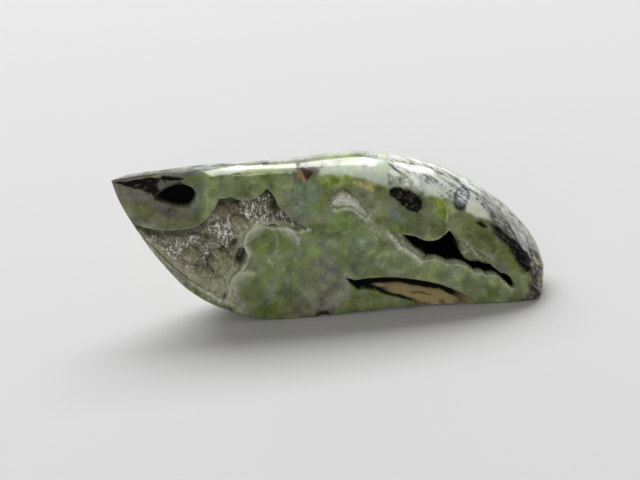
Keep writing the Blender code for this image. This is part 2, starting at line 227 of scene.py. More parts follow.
# The stone's body, as the model has it: four lines from the tip to the nose, as (x, y, z),
# how far the rounding reaches from each, and how far each wall bows out, by x.
stoneBody = {
    "tip": (-22.95, -2.9, 15.9),
    "nose": (22.95, -1.3, 2.2),
    "foot": [(-22.5, -3.2, 14.3), (-21.2, -3.7, 11.5), (-18.4, -4.5, 7.0), (-15.4, -5.1, 3.5),
             (-12.4, -5.4, 1.6), (-8.3, -5.7, 0.2), (-3.7, -5.7, -0.2), (2.3, -5.7, 0.2),
             (7.8, -5.6, 0.3), (13.8, -5.7, 0.15), (19.3, -5.7, -0.15), (21.0, -5.7, 0.0),
             (21.8, -5.1, 0.05), (22.5, -3.6, 0.4)],
    "ridge": [(-19.9, -2.9, 15.9), (-13.3, -2.9, 15.7), (-7.5, -2.9, 15.7), (-1.5, -3.0, 15.3),
              (3.3, -3.1, 14.7), (7.7, -3.4, 12.8), (12.1, -3.7, 11.4), (15.3, -4.0, 9.6),
              (17.9, -4.4, 7.1), (19.5, -4.7, 5.4), (20.6, -5.0, 3.7), (21.2, -5.2, 2.4),
              (21.8, -4.6, 2.3), (22.5, -3.2, 2.7)],
    "crest": [(-21.2, -2.1, 16.1), (-18.2, -1.3, 16.0), (-14.2, -0.3, 15.8), (-9.2, 1.2, 15.1),
              (-4.0, 2.5, 14.6), (1.4, 3.7, 14.5), (6.7, 4.5, 13.8), (10.8, 4.7, 12.6),
              (14.3, 4.7, 10.9), (17.3, 4.3, 9.2), (19.6, 3.7, 7.7), (21.4, 2.5, 6.0),
              (22.5, 0.9, 4.2)],
    "back": [(-21.2, -1.9, 12.3), (-18.4, -0.5, 8.3), (-15.4, 0.5, 5.2), (-12.4, 1.3, 2.8),
             (-8.3, 2.1, 0.6), (-3.7, 2.7, -0.1), (2.3, 3.5, 0.4), (7.8, 3.9, 0.7),
             (13.8, 3.9, 0.5), (19.3, 2.9, -0.15), (21.4, 1.3, 0.4)],
    "rounding": [(-22.95, 0.5, 0.4, 0.6, 1.0), (-15.2, 1.0, 0.7, 1.6, 1.6), (-7.2, 0.7, 1.0, 2.6, 2.2),
                 (2.8, 0.6, 1.6, 3.4, 2.6), (11.8, 0.6, 2.4, 4.0, 2.6), (18.8, 0.6, 2.2, 3.6, 2.4),
                 (21.2, 0.7, 1.6, 3.4, 2.4), (22.0, 1.2, 1.6, 3.0, 2.2), (22.95, 1.5, 2.0, 3.0, 2.2)],
    "bow": [(-22.95, 0.0, 0.05, 0.1, 0.1), (-15.2, 0.35, 0.3, 0.7, 0.4), (-4.2, 0.5, 0.5, 1.3, 0.2),
            (4.8, 0.5, 0.8, 1.3, 0.15), (12.8, 0.5, 1.0, 1.0, 0.15), (18.8, 0.3, 0.8, 0.5, 0.2),
            (22.95, 0.0, 0.0, 0.0, 0.0)],
    "ringSteps": (6, 132, 18, 34, 10, 16, 6, 8),   # corner and wall in turn, from the front foot
    "columns": 375,                                # even columns up to where the nose starts
    "noseStart": 21.2,
    "noseColumns": 28,                             # these crowd towards the nose
}

# The front face leans back: y = at + lean * z. Hollows are drawn on it as scallops. It is where
# the normal's y is below frontal, and a hollow reaches no point whose normal's y is past aside.
face = {"at": -5.7, "lean": 0.176, "frontal": -0.3, "aside": 0.2}

# Each hollow: its rim, its depth by x, and how quickly its wall drops behind the rim.
hollows = {
    "left": {
        "rim": [(-20.9, 11.2, -0.4), (-14.9, 10.6, -0.5), (-12.1, 13.4, -0.1), (-10.9, 13.5, -0.8),
                (-7.1, 14.1, 0.15), (-6.0, 12.2, -0.25), (-2.7, 9.6, 0.0), (-4.3, 9.5, -0.3),
                (-6.7, 10.0, -0.43), (-9.1, 9.9, -0.5), (-9.3, 7.3, 0.1), (-10.2, 5.7, -0.35),
                (-11.4, 3.7, -0.05), (-11.7, 2.6, 0.1), (-12.9, 3.2, 0.0), (-15.3, 4.9, 0.05),
                (-17.9, 7.4, 0.05), (-20.0, 10.0, 0.05)],
        "depth": [(-21.0, 1.0), (-2.7, 2.4)], "wall": 0.12},
    "middle": {
        "rim": [(-0.6, 12.2, 0.1), (0.7, 13.4, 0.15), (2.4, 12.3, 0.0), (3.5, 10.8, 0.0),
                (3.1, 10.3, 0.0), (1.8, 11.5, -0.15), (0.0, 11.5, 0.1)],
        "depth": [(-1.0, 1.3), (4.0, 1.3)], "wall": 0.12},
    "deep": {
        "rim": [(5.3, 9.0, -0.05), (8.3, 8.1, -0.75), (11.8, 8.5, 0.1), (16.3, 5.0, 0.0),
                (16.3, 4.4, 0.0), (17.3, 3.5, 0.1), (18.2, 3.1, 0.1), (18.9, 1.7, 0.0),
                (18.5, 1.6, 0.0), (17.3, 2.9, -0.25), (15.8, 3.3, -0.2), (14.5, 3.7, -0.45),
                (11.6, 4.9, -0.4), (8.9, 5.4, -0.15), (6.7, 7.2, -0.1)],
        "depth": [(5.0, 1.2), (7.0, 4.0), (9.0, 5.6), (13.0, 5.6), (16.0, 3.6), (19.0, 1.2)],
        "wall": 0.1},
    "pit": {
        "rim": [(-18.8, 13.7, 0.05), (-17.9, 14.5, 0.1), (-16.3, 15.05, 0.12), (-14.8, 14.7, 0.1),
                (-14.35, 13.8, 0.12), (-15.1, 12.7, 0.1), (-16.7, 12.9, 0.05)],
        "depth": [(-18.6, 0.6), (-17.0, 1.4), (-14.5, 1.5)], "wall": 0.1},
    "tan": {
        "rim": [(0.7, 4.3, 0.0), (1.7, 3.9, 0.15), (6.4, 3.8, 0.1), (10.9, 2.7, 0.1),
                (14.5, 0.7, 0.0), (14.5, -0.6, 0.0), (8.4, -0.6, 0.0), (8.1, 0.9, 0.0),
                (6.4, 1.5, 0.1), (4.0, 2.5, -0.1), (2.1, 2.7, 0.1)],
        "depth": [(10.0, 1.4), (14.5, 0.28)], "wall": 0.08},
}
rimStep = 0.15    # length of the stretches that a scallop is drawn with
rimReach = 0.6    # how far outside a rim its hollow is worked out
farOut = -9.0     # a distance well outside every rim
tanHollow = {"upperRim": [(0.7, 4.3), (1.7, 3.95), (6.4, 3.9), (10.9, 2.8), (14.5, 0.7)],
             "shallowShare": 0.32, "fall": 2.0}
# shelves just behind the face in the deep hollow: its upper right part and its lower left edge
shelves = [
    {"outline": [(11.6, 9.0), (12.4, 7.6), (12.9, 6.9), (13.0, 6.0), (13.5, 5.2), (14.2, 4.75),
                 (15.0, 4.65), (15.8, 4.35), (16.4, 4.3), (17.0, 5.2)],
     "near": 0.28, "roll": 0.4,
     "tone": (128, 133, 102), "edgeTone": (84, 94, 48), "creaseTone": (176, 180, 150),
     "creases": [[(13.4, 7.2), (14.3, 6.1), (15.1, 5.1), (15.4, 4.7)],
                 [(14.3, 6.1), (13.6, 5.6), (13.2, 5.7)]]},
    {"outline": [(5.0, 9.2), (6.5, 7.0), (8.8, 5.1), (9.4, 5.8), (8.2, 6.6), (7.3, 7.6), (6.8, 8.9)],
     "near": 0.14, "roll": 0.3,
     "tone": (150, 156, 130), "edgeTone": (96, 106, 66), "creaseTone": (200, 204, 182),
     "creases": [[(5.6, 8.7), (6.6, 7.6), (8.1, 6.1), (9.0, 5.5)]]},
]
chip = {"centre": (-1.5, -5.9, -0.1), "radius": 0.8, "tone": (52, 46, 34)}

# The picture plane of the marks: how the stone is seen from the front and above. Marks on
# the polished front and top are placed on it as (across, up).
markPlane = {"turn": math.radians(-9.6), "tilt": math.radians(25)}


def along(x):
    # place on the loft: asin of the share of the way from tip to nose, as a share of 90 degrees
    share = (np.asarray(x, float) - stoneBody["tip"][0]) / (stoneBody["nose"][0] - stoneBody["tip"][0])
    return np.arcsin(np.clip(share, 0.0, 1.0)) * 2.0 / np.pi


def onLine(points, place):
    # y and z of a line through points: cubic Hermite stretches whose slopes are the harmonic
    # mean of the slopes on either side, and zero where those turn
    points = np.array([stoneBody["tip"], *points, stoneBody["nose"]], float)
    knots, values = along(points[:, 0]), points[:, 1:]
    step = np.diff(knots)
    rise = np.diff(values, axis=0) / step[:, None]
    weightA = (2 * step[1:] + step[:-1])[:, None]
    weightB = (step[1:] + 2 * step[:-1])[:, None]
    sameWay = rise[:-1] * rise[1:] > 0
    before, after = np.where(sameWay, rise[:-1], 1.0), np.where(sameWay, rise[1:], 1.0)
    mean = (weightA + weightB) / (weightA / before + weightB / after)
    slope = np.vstack([rise[:1], np.where(sameWay, mean, 0.0), rise[-1:]])
    i = np.clip(np.searchsorted(knots, place, side="right") - 1, 0, len(step) - 1)
    t, width = ((place - knots[i]) / step[i])[:, None], step[i][:, None]
    return (values[i] * (2 * t**3 - 3 * t**2 + 1) + slope[i] * width * (t**3 - 2 * t**2 + t)
            + values[i + 1] * (3 * t**2 - 2 * t**3) + slope[i + 1] * width * (t**3 - t**2))


def byX(table, x):
    # straight steps between the rows of a table that starts with x
    table = np.array(table, float)
    return np.stack([np.interp(x, table[:, 0], column) for column in table[:, 1:].T], axis=-1)


def sections(x):
    # closed y-z loops: four corners and four bowed walls, each a quadratic Bezier curve
    corners = [onLine(stoneBody[line], along(x)) for line in ("foot", "ridge", "crest", "back")]
    reach, bow = byX(stoneBody["rounding"], x), byX(stoneBody["bow"], x)
    control, tangent = np.zeros((len(x), 8, 2)), np.zeros((len(x), 8))
    for k in range(4):
        a, b = corners[k], corners[(k + 1) % 4]
        length = np.maximum(np.linalg.norm(b - a, axis=1, keepdims=True), 1e-9)
        outward = np.stack([a[:, 1] - b[:, 1], b[:, 0] - a[:, 0]], axis=1) / length
        control[:, 2 * k] = a
        control[:, 2 * k + 1] = (a + b) / 2 + outward * np.minimum(2 * bow[:, k:k + 1], length / 4)
        tangent[:, 2 * k] = reach[:, k]
    onward = np.roll(control, -1, axis=1) - control
    backward = np.roll(control, 1, axis=1) - control
    far = np.maximum(np.linalg.norm(onward, axis=2), 1e-9)
    near = np.maximum(np.linalg.norm(backward, axis=2), 1e-9)
    # a corner takes up to 0.46 of a wall on either side, and a bow 0.98 of what is left
    tangent = np.minimum(tangent, 0.46 * np.minimum(near, far))
    pieces = []
    for j, steps in enumerate(stoneBody["ringSteps"]):
        if j % 2:
            before = 0.98 * (near[:, j] - tangent[:, j - 1])
            after = 0.98 * (far[:, j] - tangent[:, (j + 1) % 8])
        else:
            before = after = tangent[:, j]
        start = control[:, j] + backward[:, j] * (before / near[:, j])[:, None]
        end = control[:, j] + onward[:, j] * (after / far[:, j])[:, None]
        w = (np.arange(steps) / steps)[None, :, None]
        pieces.append((1 - w)**2 * start[:, None] + 2 * w * (1 - w) * control[:, j][:, None]
                      + w**2 * end[:, None])
    return np.concatenate(pieces, axis=1)


def faceY(z):
    return face["at"] + face["lean"] * z


def hollowDepth(name, x, z):
    # how deep a hollow's floor lies behind the face, away from its rim
    depth = byX(hollows[name]["depth"], x)[..., 0]
    if name == "tan":
        rim = np.array(tanHollow["upperRim"])
        below = np.clip((np.interp(x, rim[:, 0], rim[:, 1]) - z) / tanHollow["fall"], 0, 1)
        depth = depth * (1 + (tanHollow["shallowShare"] - 1) * below)
    if name == "deep":
        stray = 0.12 * cloud(np.stack([x, z, 0 * x], axis=-1), 0.8, 2, 471)
        for shelf in shelves:
            gap, _, _ = distanceTo(x, z, shelf["outline"])
            depth = depth + (shelf["near"] - depth) * smoothStep(-shelf["roll"], 0.0, gap + stray)
    return depth


def normalsOf(points):
    # unit normals of a grid that closes on itself across its second direction
    ahead = np.gradient(points, axis=0)
    around = np.roll(points, -1, axis=1) - np.roll(points, 1, axis=1)
    normal = np.cross(ahead, around)
    return normal / np.maximum(np.linalg.norm(normal, axis=-1, keepdims=True), 1e-12)


def bodyGrid():
    # the polished body: a closed loop at each x, with the loops closer together at the nose
    tipX, noseX, noseStart = stoneBody["tip"][0], stoneBody["nose"][0], stoneBody["noseStart"]
    t = np.arange(1, stoneBody["noseColumns"]) / stoneBody["noseColumns"]
    x = np.concatenate([np.linspace(tipX, noseStart, stoneBody["columns"])[1:],
                        noseX - (noseX - noseStart) * (1 - t)**2])
    loops = sections(x)
    points = np.concatenate([np.repeat(x[:, None, None], loops.shape[1], axis=1), loops], axis=2)
    points[..., 2] = np.maximum(points[..., 2], 0.0)
    return points


def pressIn(name, points, normals, spacing):
    # one hollow: points inside its rim drop behind the face by depth * (1 - exp(-gap / wall));
    # returns each point's distance inside the rim
    rim = scallops(hollows[name]["rim"], rimStep)
    front = normals[..., 1] < face["frontal"]
    px, py, pz = points[..., 0], points[..., 1], points[..., 2]
    nearby = nearShape(px, pz, rim, rimReach) & (normals[..., 1] < face["aside"])
    gap = np.full(px.shape, farOut)
    gap[nearby], nearX, nearZ = distanceTo(px[nearby], pz[nearby], rim)
    # a point less than half a cell from the rim slides on to it, along the face
    moveX, moveZ = np.zeros(px.shape), np.zeros(px.shape)
    moveX[nearby], moveZ[nearby] = nearX - px[nearby], nearZ - pz[nearby]
    apart = np.maximum(np.abs(gap), 1e-9)
    limit = 0.5 * np.maximum(np.abs(moveX) / apart * spacing[..., 0],
                             np.abs(moveZ) / apart * spacing[..., 1])
    snapped = nearby & front & (np.abs(gap) <= limit)
    slide = -(normals[..., 0] * moveX + normals[..., 2] * moveZ) / np.where(front, normals[..., 1], 1)
    points[..., 0] = np.where(snapped, px + moveX, px)
    points[..., 1] = np.where(snapped, py + slide, py)
    points[..., 2] = np.where(snapped, np.maximum(pz + moveZ, 0), pz)
    gap[snapped] = 0.0
    drop = 1 - np.exp(-np.maximum(gap, 0) / hollows[name]["wall"])
    floor = faceY(points[..., 2]) + hollowDepth(name, points[..., 0], points[..., 2]) * drop
    points[..., 1] = np.where(gap > 0, np.maximum(points[..., 1], floor), points[..., 1])
    return gap


def carvedStone():
    # the body's grid with its hollows pressed in; returns the points, the normals of the
    # polished body, the depth of each point under it and its distance inside each rim
    points = bodyGrid()
    polished, normals = points.copy(), normalsOf(points)
    spacing = np.stack([np.abs(np.gradient(points[..., 0], axis=0)),
                        np.abs(np.gradient(points[..., 2], axis=1))], axis=-1)
    inside = {name: pressIn(name, points, normals, spacing) for name in hollows}
    # the chip is a ball's dent: points inside the ball move out to its surface
    offset = points - np.array(chip["centre"])
    away = np.linalg.norm(offset, axis=-1, keepdims=True)
    pushed = np.array(chip["centre"]) + offset * chip["radius"] / np.maximum(away, 1e-6)
    pushed[..., 2] = np.maximum(pushed[..., 2], 0.0)
    chipped = away < chip["radius"]
    points = np.where(chipped, pushed, points)
    inside["chip"] = np.where(chipped, chip["radius"] - away, farOut)[..., 0]
    return points, normals, points[..., 1] - polished[..., 1], inside


def tubeFaces(columns, around, level):
    # quads of a grid that closes on itself, each split along the diagonal whose ends lie at
    # more alike levels, and a fan of triangles at each end
    i, j = np.meshgrid(np.arange(columns - 1), np.arange(around), indexing="ij")
    k = (j + 1) % around
    quads = np.stack([i * around + j, (i + 1) * around + j, (i + 1) * around + k, i * around + k], axis=-1)
    quads = quads.reshape(-1, 4)
    corner = level[quads]
    turned = np.abs(corner[:, 1] - corner[:, 3]) < np.abs(corner[:, 0] - corner[:, 2])
    quads = np.where(turned[:, None], np.roll(quads, -1, axis=1), quads)
    ring, after = np.arange(around), (np.arange(around) + 1) % around
    tip, nose, last = columns * around, columns * around + 1, (columns - 1) * around
    tipFan = np.stack([np.full(around, tip), ring, after], axis=-1)
    noseFan = np.stack([np.full(around, nose), last + after, last + ring], axis=-1)
    return np.concatenate([quads[:, [0, 1, 2]], quads[:, [0, 2, 3]], tipFan, noseFan])


# Marks of the polished front and top, on their plane in millimetres. Areas: what it is, its
# colour, how soft its edge is, how strong it is, its closed outline. Lines: colour, half width,
# strength, run. Spots: colour, radius, strength, places.
areas = [
    ("tip face", (113, 114, 97), 0.5, 1, [(-22.7, 11.9), (-18.3, 11.2), (-12.7, 11.2), (-12.8, 8.4),
     (-17.3, 6.5), (-20.1, 7.2)]),
    ("olive band", (96, 103, 46), 0.35, 0.95, [(-20.2, 9.1), (-18.6, 9.2), (-17.8, 8.4), (-16.9, 7.7),
     (-17.8, 7.3), (-18.7, 7.5), (-19.9, 7.9)]),
    ("olive band by the lip", (112, 118, 66), 0.3, 0.9, [(-17.8, 8.3), (-16.8, 7.8), (-14.8, 7.7),
     (-13.3, 8.1), (-12.9, 7.4), (-14.7, 6.6), (-16.7, 6.6), (-17.7, 7.3)]),
    ("grey under the pit", (95, 97, 80), 0.35, 0.9, [(-17.5, 9.3), (-15.8, 8.8), (-14.3, 8.6), (-13.7, 8),
     (-15.3, 7.7), (-16.8, 7.9), (-17.8, 8.6)]),
    ("green by the lip", (100, 113, 66), 0.25, 0.8, [(-13.6, 8.2), (-12.9, 9), (-12.8, 8.4), (-13, 7.5),
     (-13.7, 7.1)]),
    ("grey right of the pit", (120, 125, 100), 0.25, 0.9, [(-14.4, 11.5), (-13.2, 11.2), (-12.9, 9.9),
     (-13.3, 8.6), (-14.3, 8.3), (-13.7, 9.1), (-13.5, 10)]),
    ("pale green band", (138, 149, 107), 0.22, 1, [(-12.8, 11.7), (-11.8, 11.6), (-11.2, 10), (-12, 8.3),
     (-12.8, 8), (-12.7, 9.8)]),
    ("top by the tip", (104, 106, 99), 0.15, 1, [(-22.9, 11.8), (-19.8, 12.3), (-16.8, 12.8),
     (-13.3, 13.3), (-12.6, 12.5), (-14.9, 11.9), (-16, 12.1), (-17.1, 12.1), (-18.2, 12), (-19.1, 11.8),
     (-20.3, 11.6), (-22, 11.4)]),
    # black chert, and painted shade at the pit's edge
    ("black chert and pit edge", (14, 12, 8), 0.09, 1, [(-22, 11.4), (-20.3, 11.6), (-19.1, 11.8),
     (-18.2, 12), (-17.2, 11.8), (-17, 12.1), (-16, 12.1), (-14.9, 11.8), (-15.2, 11.6), (-17.2, 11.6),
     (-17.4, 11.3), (-17.5, 10.6), (-17.1, 10.6), (-16.2, 11.1), (-15.4, 11.6), (-14.8, 11.3),
     (-14.1, 10.8), (-14.1, 10.1), (-14.5, 9.2), (-15.4, 8.9), (-16.3, 9.3), (-17, 9.6), (-17.8, 9.6),
     (-18.1, 10.2), (-18.8, 10.5), (-19.3, 10.7), (-19.9, 10.8), (-21, 11.1)]),
    ("grey corner by the pit", (78, 79, 72), 0.2, 0.7, [(-17.1, 11.5), (-15.5, 11.6), (-15.8, 11.3),
     (-16.5, 10.9), (-17.1, 10.7), (-17.3, 11)]),
    ("grey fleck", (70, 70, 64), 0.14, 0.5, [(-19.2, 11.9), (-18.8, 11.9), (-18.8, 11.4), (-19.1, 11.5)]),
    ("grey fleck", (96, 94, 88), 0.12, 0.7, [(-19.8, 11.2), (-19.4, 11.2), (-19.4, 10.9), (-19.8, 10.9)]),
    ("grey fleck", (62, 60, 56), 0.15, 0.8, [(-18.5, 11.6), (-18, 11.6), (-18, 11), (-18.5, 11.2)]),
    ("green strip over the hollow", (131, 143, 99), 0.4, 1, [(-11.8, 12.1), (-6.9, 12.1), (-6.8, 10.1),
     (-8.9, 9.6), (-11.3, 9.7)]),
    ("green under the ridge", (141, 150, 107), 0.15, 0.9, [(-11.9, 12), (-9.2, 11.8), (-7, 11.7),
     (-6.9, 11.3), (-9.2, 11.1), (-11.8, 11.2)]),
    ("top band", (158, 164, 148), 0.15, 1, [(-13.8, 12.9), (-7.2, 14), (-3.1, 14.3), (1.1, 14.9),
     (3.4, 14.9), (1.9, 14.2), (-3.1, 13.6), (-7, 13.3), (-10.7, 12.9), (-13.2, 12.5)]),
    ("pale over the ridge", (236, 243, 227), 0.12, 1, [(-13, 12.6), (-10.7, 13), (-7, 13.3), (-7, 13.1),
     (-8, 12.7), (-9.4, 12.5), (-10.7, 12.2), (-12.2, 12)]),
    ("pale green over the ridge", (201, 210, 176), 0.2, 1, [(-9.2, 12.7), (-6.9, 13.2), (-3.5, 13.5),
     (-3.5, 12.5), (-7, 12.3), (-9.1, 12.2)]),
    ("lime dot", (140, 153, 84), 0.13, 1, [(-7.1, 12.2), (-6, 12.2), (-6.2, 11.6), (-6.9, 11.5)]),
    ("grey spot on top", (70, 78, 70), 0.1, 0.9, [(-7.5, 13.7), (-6.4, 13.7), (-6.2, 13.3),
     (-6.8, 13.3)]),
    ("grey spot on top", (78, 82, 76), 0.1, 0.9, [(-11.8, 12.9), (-10, 13.4), (-9.6, 13.3),
     (-10.6, 12.9)]),
    ("green on top", (176, 190, 146), 0.35, 0.7, [(-3.1, 13.8), (0, 14.4), (2.7, 14.4), (3.3, 13.8),
     (1.1, 13.4), (-2.5, 13.3)]),
    ("lime on top", (118, 132, 66), 0.1, 0.9, [(-0.1, 14), (0.8, 14.2), (2.1, 14.1), (2.4, 13.8),
     (1.1, 13.7), (0.1, 13.8)]),
    ("grey-green shoulder", (138, 147, 110), 0.4, 0.9, [(-5.8, 11.5), (-3.8, 11.5), (-3.7, 8.6),
     (-4.8, 8), (-5.6, 9.4)]),
    ("blue-green patch", (129, 146, 118), 0.25, 1, [(-3.9, 11.7), (-1.2, 11.6), (-0.7, 9.7), (-1.8, 8),
     (-3.1, 7.9), (-3.9, 9.2)]),
    ("lime arc", (120, 141, 72), 0.2, 0.9, [(-2, 9.1), (-0.8, 10.1), (-0.1, 11.1), (0.2, 10.7),
     (-0.3, 9.1), (-1.2, 8.2)]),
    ("white top", (212, 225, 204), 0.3, 1, [(-1.1, 13.1), (1.6, 13.5), (3.4, 13.9), (4.8, 14.8),
     (6.2, 14.7), (6.1, 11.1), (5.2, 11.3), (4.3, 11.6), (2.1, 12), (0.6, 12.2), (-1.1, 11.9)]),
    ("lime veil", (158, 172, 92), 0.25, 1, [(-1.2, 12), (1.6, 12.1), (3.1, 11.9), (4.6, 11.5), (4.2, 11),
     (2.1, 11.4), (0.4, 11.1), (-1, 11.2)]),
    ("lime dot", (112, 130, 48), 0.14, 1, [(0.1, 11.9), (1, 12.1), (0.9, 11.3), (0.1, 11.2)]),
    ("ochre veil", (196, 178, 118), 0.16, 0.8, [(2.3, 11.8), (3.3, 11.7), (4.3, 11.3), (4.9, 10.4),
     (3.9, 10.7), (3.1, 11.1)]),
    ("heart brown", (66, 42, 26), 0.08, 1, [(-3.1, 12.9), (-2.6, 13.2), (-1.6, 13), (-1.8, 12.2),
     (-2.3, 11.6), (-2.8, 12.1)]),
    ("heart orange", (180, 140, 102), 0.1, 1, [(-3.5, 12.7), (-3, 12.7), (-2.7, 12.1), (-2.4, 11.5),
     (-3.2, 11.7)]),
    ("heart cap", (56, 60, 52), 0.09, 1, [(-3.6, 13.5), (-3, 13.5), (-3, 13.1), (-3.4, 12.8)]),
    ("heart cap", (132, 134, 126), 0.1, 1, [(-2.8, 13.2), (-2.2, 13.5), (-1.5, 13), (-1.7, 12.6),
     (-2.5, 12.9)]),
    ("grey by the heart", (150, 155, 138), 0.12, 0.9, [(-1.5, 12.9), (-1.1, 12.7), (-1.2, 12),
     (-1.5, 12.3)]),
    ("grey-green right of middle", (133, 141, 106), 0.45, 0.9, [(3.6, 10.7), (6.4, 10.7), (7.1, 9.1),
     (6.2, 8), (4.6, 8.3), (3.7, 9.4)]),
    ("marble", (216, 221, 213), 0.12, 1, [(6.1, 14.8), (9.4, 14.1), (13.3, 12.8), (16.5, 11), (17.4, 9.3),
     (17.1, 7.4), (15.5, 8.3), (14.2, 9.2), (12.7, 9.7), (11, 10), (9.6, 10.7), (8.1, 11.8), (6.2, 11),
     (6.1, 13)]),
    ("grey slab on top", (182, 190, 184), 0.08, 0.9, [(4.1, 14.9), (5.2, 14.8), (4.8, 13.9), (3.4, 13.1),
     (3, 13.7)]),
    # painted reflection: the black inclusion's top, where it crosses the ridge, is painted light grey
    ("smoky cap", (182, 186, 180), 0.35, 0.8, [(6.3, 12.2), (7.2, 12.4), (8.2, 12.1), (9.4, 11),
     (9.3, 10.4), (8.1, 10.8), (6.6, 11), (6.1, 10.8)]),
    ("smoky patch", (190, 196, 190), 0.2, 0.8, [(9.3, 12.7), (10.3, 12.4), (11.3, 11.4), (11.9, 10.5),
     (10.9, 10.8), (9.8, 11.8)]),
    ("blue-grey under black", (116, 129, 110), 0.35, 0.9, [(5.8, 9.1), (7.7, 9), (8.7, 8.1), (7.8, 7),
     (6.5, 7.7)]),
    ("olive above deep hollow", (113, 122, 78), 0.35, 0.95, [(7.7, 8.4), (12, 7.9), (12.3, 6.5),
     (11.2, 5.8), (9.4, 6), (7.8, 7)]),
    ("black inclusion", (15, 13, 9), 0.08, 1, [(6.2, 10.7), (6.6, 11), (7.3, 11.1), (8.1, 10.8),
     (9.2, 10.2), (9.6, 9.6), (9.5, 8.9), (9.1, 8.4), (8.4, 8.5), (7.2, 9.4), (6.3, 10.2)]),
    ("olive-lime bowl", (139, 154, 70), 0.2, 1, [(10.7, 9.8), (12.1, 10), (12.9, 9.6), (12.8, 8.4),
     (12, 7.6), (11, 8.1)]),
    ("pale green by the ball", (176, 184, 158), 0.2, 0.9, [(12.2, 9.7), (13, 9.4), (13.3, 8.5),
     (13.8, 7.4), (13, 7.4), (12.5, 8.3)]),
    ("right shoulder", (119, 126, 82), 0.4, 1, [(13, 8.5), (14.6, 8.3), (16.2, 7.2), (17.2, 6),
     (15.9, 4.5), (13.8, 5.4), (12.5, 6.6)]),
    ("grey-green by the bowl", (134, 139, 108), 0.25, 0.9, [(12.1, 7.8), (13.3, 8.1), (13.9, 6.7),
     (13, 6.2), (12.3, 6.5)]),
    ("olive right face", (93, 102, 54), 0.35, 0.95, [(15.5, 6.8), (16.7, 6.3), (17.9, 4.9), (17.4, 3.9),
     (15.7, 4.8)]),
    ("cream band", (224, 228, 210), 0.16, 1, [(14.2, 9.2), (14.8, 9.4), (15.6, 8.9), (16.7, 8),
     (16.4, 7.7), (15.3, 8.1), (14.3, 8.6)]),
    ("pale by the bowl", (212, 221, 210), 0.35, 0.9, [(9.6, 11.3), (10.8, 11.4), (12, 10.7), (12.7, 10),
     (11, 10), (9.9, 10.3)]),
    ("ball", (104, 114, 122), 0.07, 1, [(13.3, 11), (14, 11.3), (14.6, 10.9), (14.7, 10.2), (14.4, 9.4),
     (13.9, 8.9), (13.2, 8.9), (12.9, 9.5), (12.9, 10.5)]),
    # painted highlight on the ball, and painted shade under it
    ("ball light", (170, 178, 186), 0.12, 0.9, [(13.3, 10.8), (14.3, 10.8), (14.4, 10.1), (13.8, 9.6),
     (13.3, 9.7)]),
    ("ball shadow", (40, 42, 30), 0.1, 0.95, [(12.9, 9.5), (13.3, 9.2), (14, 9.2), (14.3, 9.4),
     (14.1, 8.8), (13.6, 8.6), (13, 8.8)]),
    ("dark slit", (26, 26, 14), 0.08, 1, [(15.1, 7.5), (15.8, 7.5), (16.6, 6.8), (15.9, 6.8)]),
    ("green by the nose", (104, 113, 60), 0.3, 0.95, [(17.5, 4.9), (19.2, 4.1), (19.9, 2.6), (20.4, -0.9),
     (19.1, -1), (17.9, 0.5), (17.5, 3.1)]),
    ("grey by the slot", (104, 109, 84), 0.18, 0.9, [(16.9, 3.3), (18.2, 3.2), (18.8, 1.9), (17.9, 1.7),
     (17.2, 2.3)]),
    ("chert over the nose", (116, 118, 112), 0.25, 1, [(16, 11.3), (17.7, 9.9), (19.2, 8.6), (21.1, 6.2),
     (22.6, 2.8), (22.4, 1.4), (21.7, 3.5), (20.1, 5.3), (18.4, 6.4), (17, 7.3), (16.4, 9.2)]),
    ("black chert band", (9, 8, 6), 0.2, 1, [(16.8, 7.2), (17.7, 7), (18.4, 6.4), (19.2, 5.7), (20, 5.2),
     (20.8, 4.4), (21.4, 3.6), (21.6, 2.6), (21.6, 1.8), (20.6, 2.3), (20, 2.8), (19.5, 3.4), (19.4, 4.4),
     (18.8, 4.8), (17.8, 5.6), (17.1, 6.3)]),
    ("speckled chert", (64, 62, 52), 0.25, 1, [(21.7, 3.2), (22.6, 2.2), (22.7, -1.1), (20.4, -1.1),
     (20.8, 0.3), (21.2, 1.6)]),
    ("bright green", (122, 148, 78), 0.35, 1, [(0.4, 8.9), (1.3, 9.1), (2.1, 8.7), (2.4, 7.8), (1.9, 6.8),
     (1.1, 6.6), (0.3, 7), (0.1, 7.9)]),
    ("green left of ring", (124, 142, 78), 0.6, 0.9, [(-3.1, 5.8), (-1.8, 6), (-0.8, 4.9), (-1, 3.7),
     (-2.3, 3.3), (-3.3, 4.3)]),
    ("green middle", (104, 121, 55), 0.45, 0.95, [(-4.3, 3.9), (-2.7, 4.1), (-1.7, 2.7), (-2.3, 1),
     (-3.5, 0.6), (-4.6, 2.1)]),
    ("grey middle", (119, 121, 99), 0.55, 0.9, [(-1, 4.1), (0.5, 3.5), (1.5, 1), (0.9, -0.9), (-1, -0.1),
     (-1.8, 2)]),
    ("grey foot", (138, 140, 117), 0.5, 0.9, [(-3.3, -0.1), (1.6, 0.4), (2.3, -1.6), (-3.1, -2.4)]),
    ("grey-brown foot", (116, 117, 92), 0.4, 0.9, [(-4.8, -0.4), (-3.1, 0), (-1.9, -1.1), (-2.5, -2.5),
     (-5.2, -2.7)]),
    ("green near ring", (99, 118, 50), 0.25, 0.95, [(5, 6.1), (6.4, 4.7), (5.8, 3.5), (4.3, 3.5),
     (4.6, 4.7)]),
    ("green right", (103, 122, 44), 0.25, 0.95, [(5.8, 4), (7.8, 4), (7.5, 2.5), (6, 2.7)]),
    ("lower right strip", (138, 149, 102), 0.3, 1, [(4.4, 3.3), (6, 5.2), (7.7, 4.3), (10.5, 3.3),
     (14.7, 2.9), (18.4, 0.9), (19.4, 0.3), (18.3, -1), (14.7, -0.1), (11.6, 0.9), (7.3, 1.8), (4.4, 2)]),
    ("green in strip", (98, 115, 50), 0.3, 0.9, [(6.7, 4), (8.1, 3.8), (8.4, 2.8), (7.1, 2.6)]),
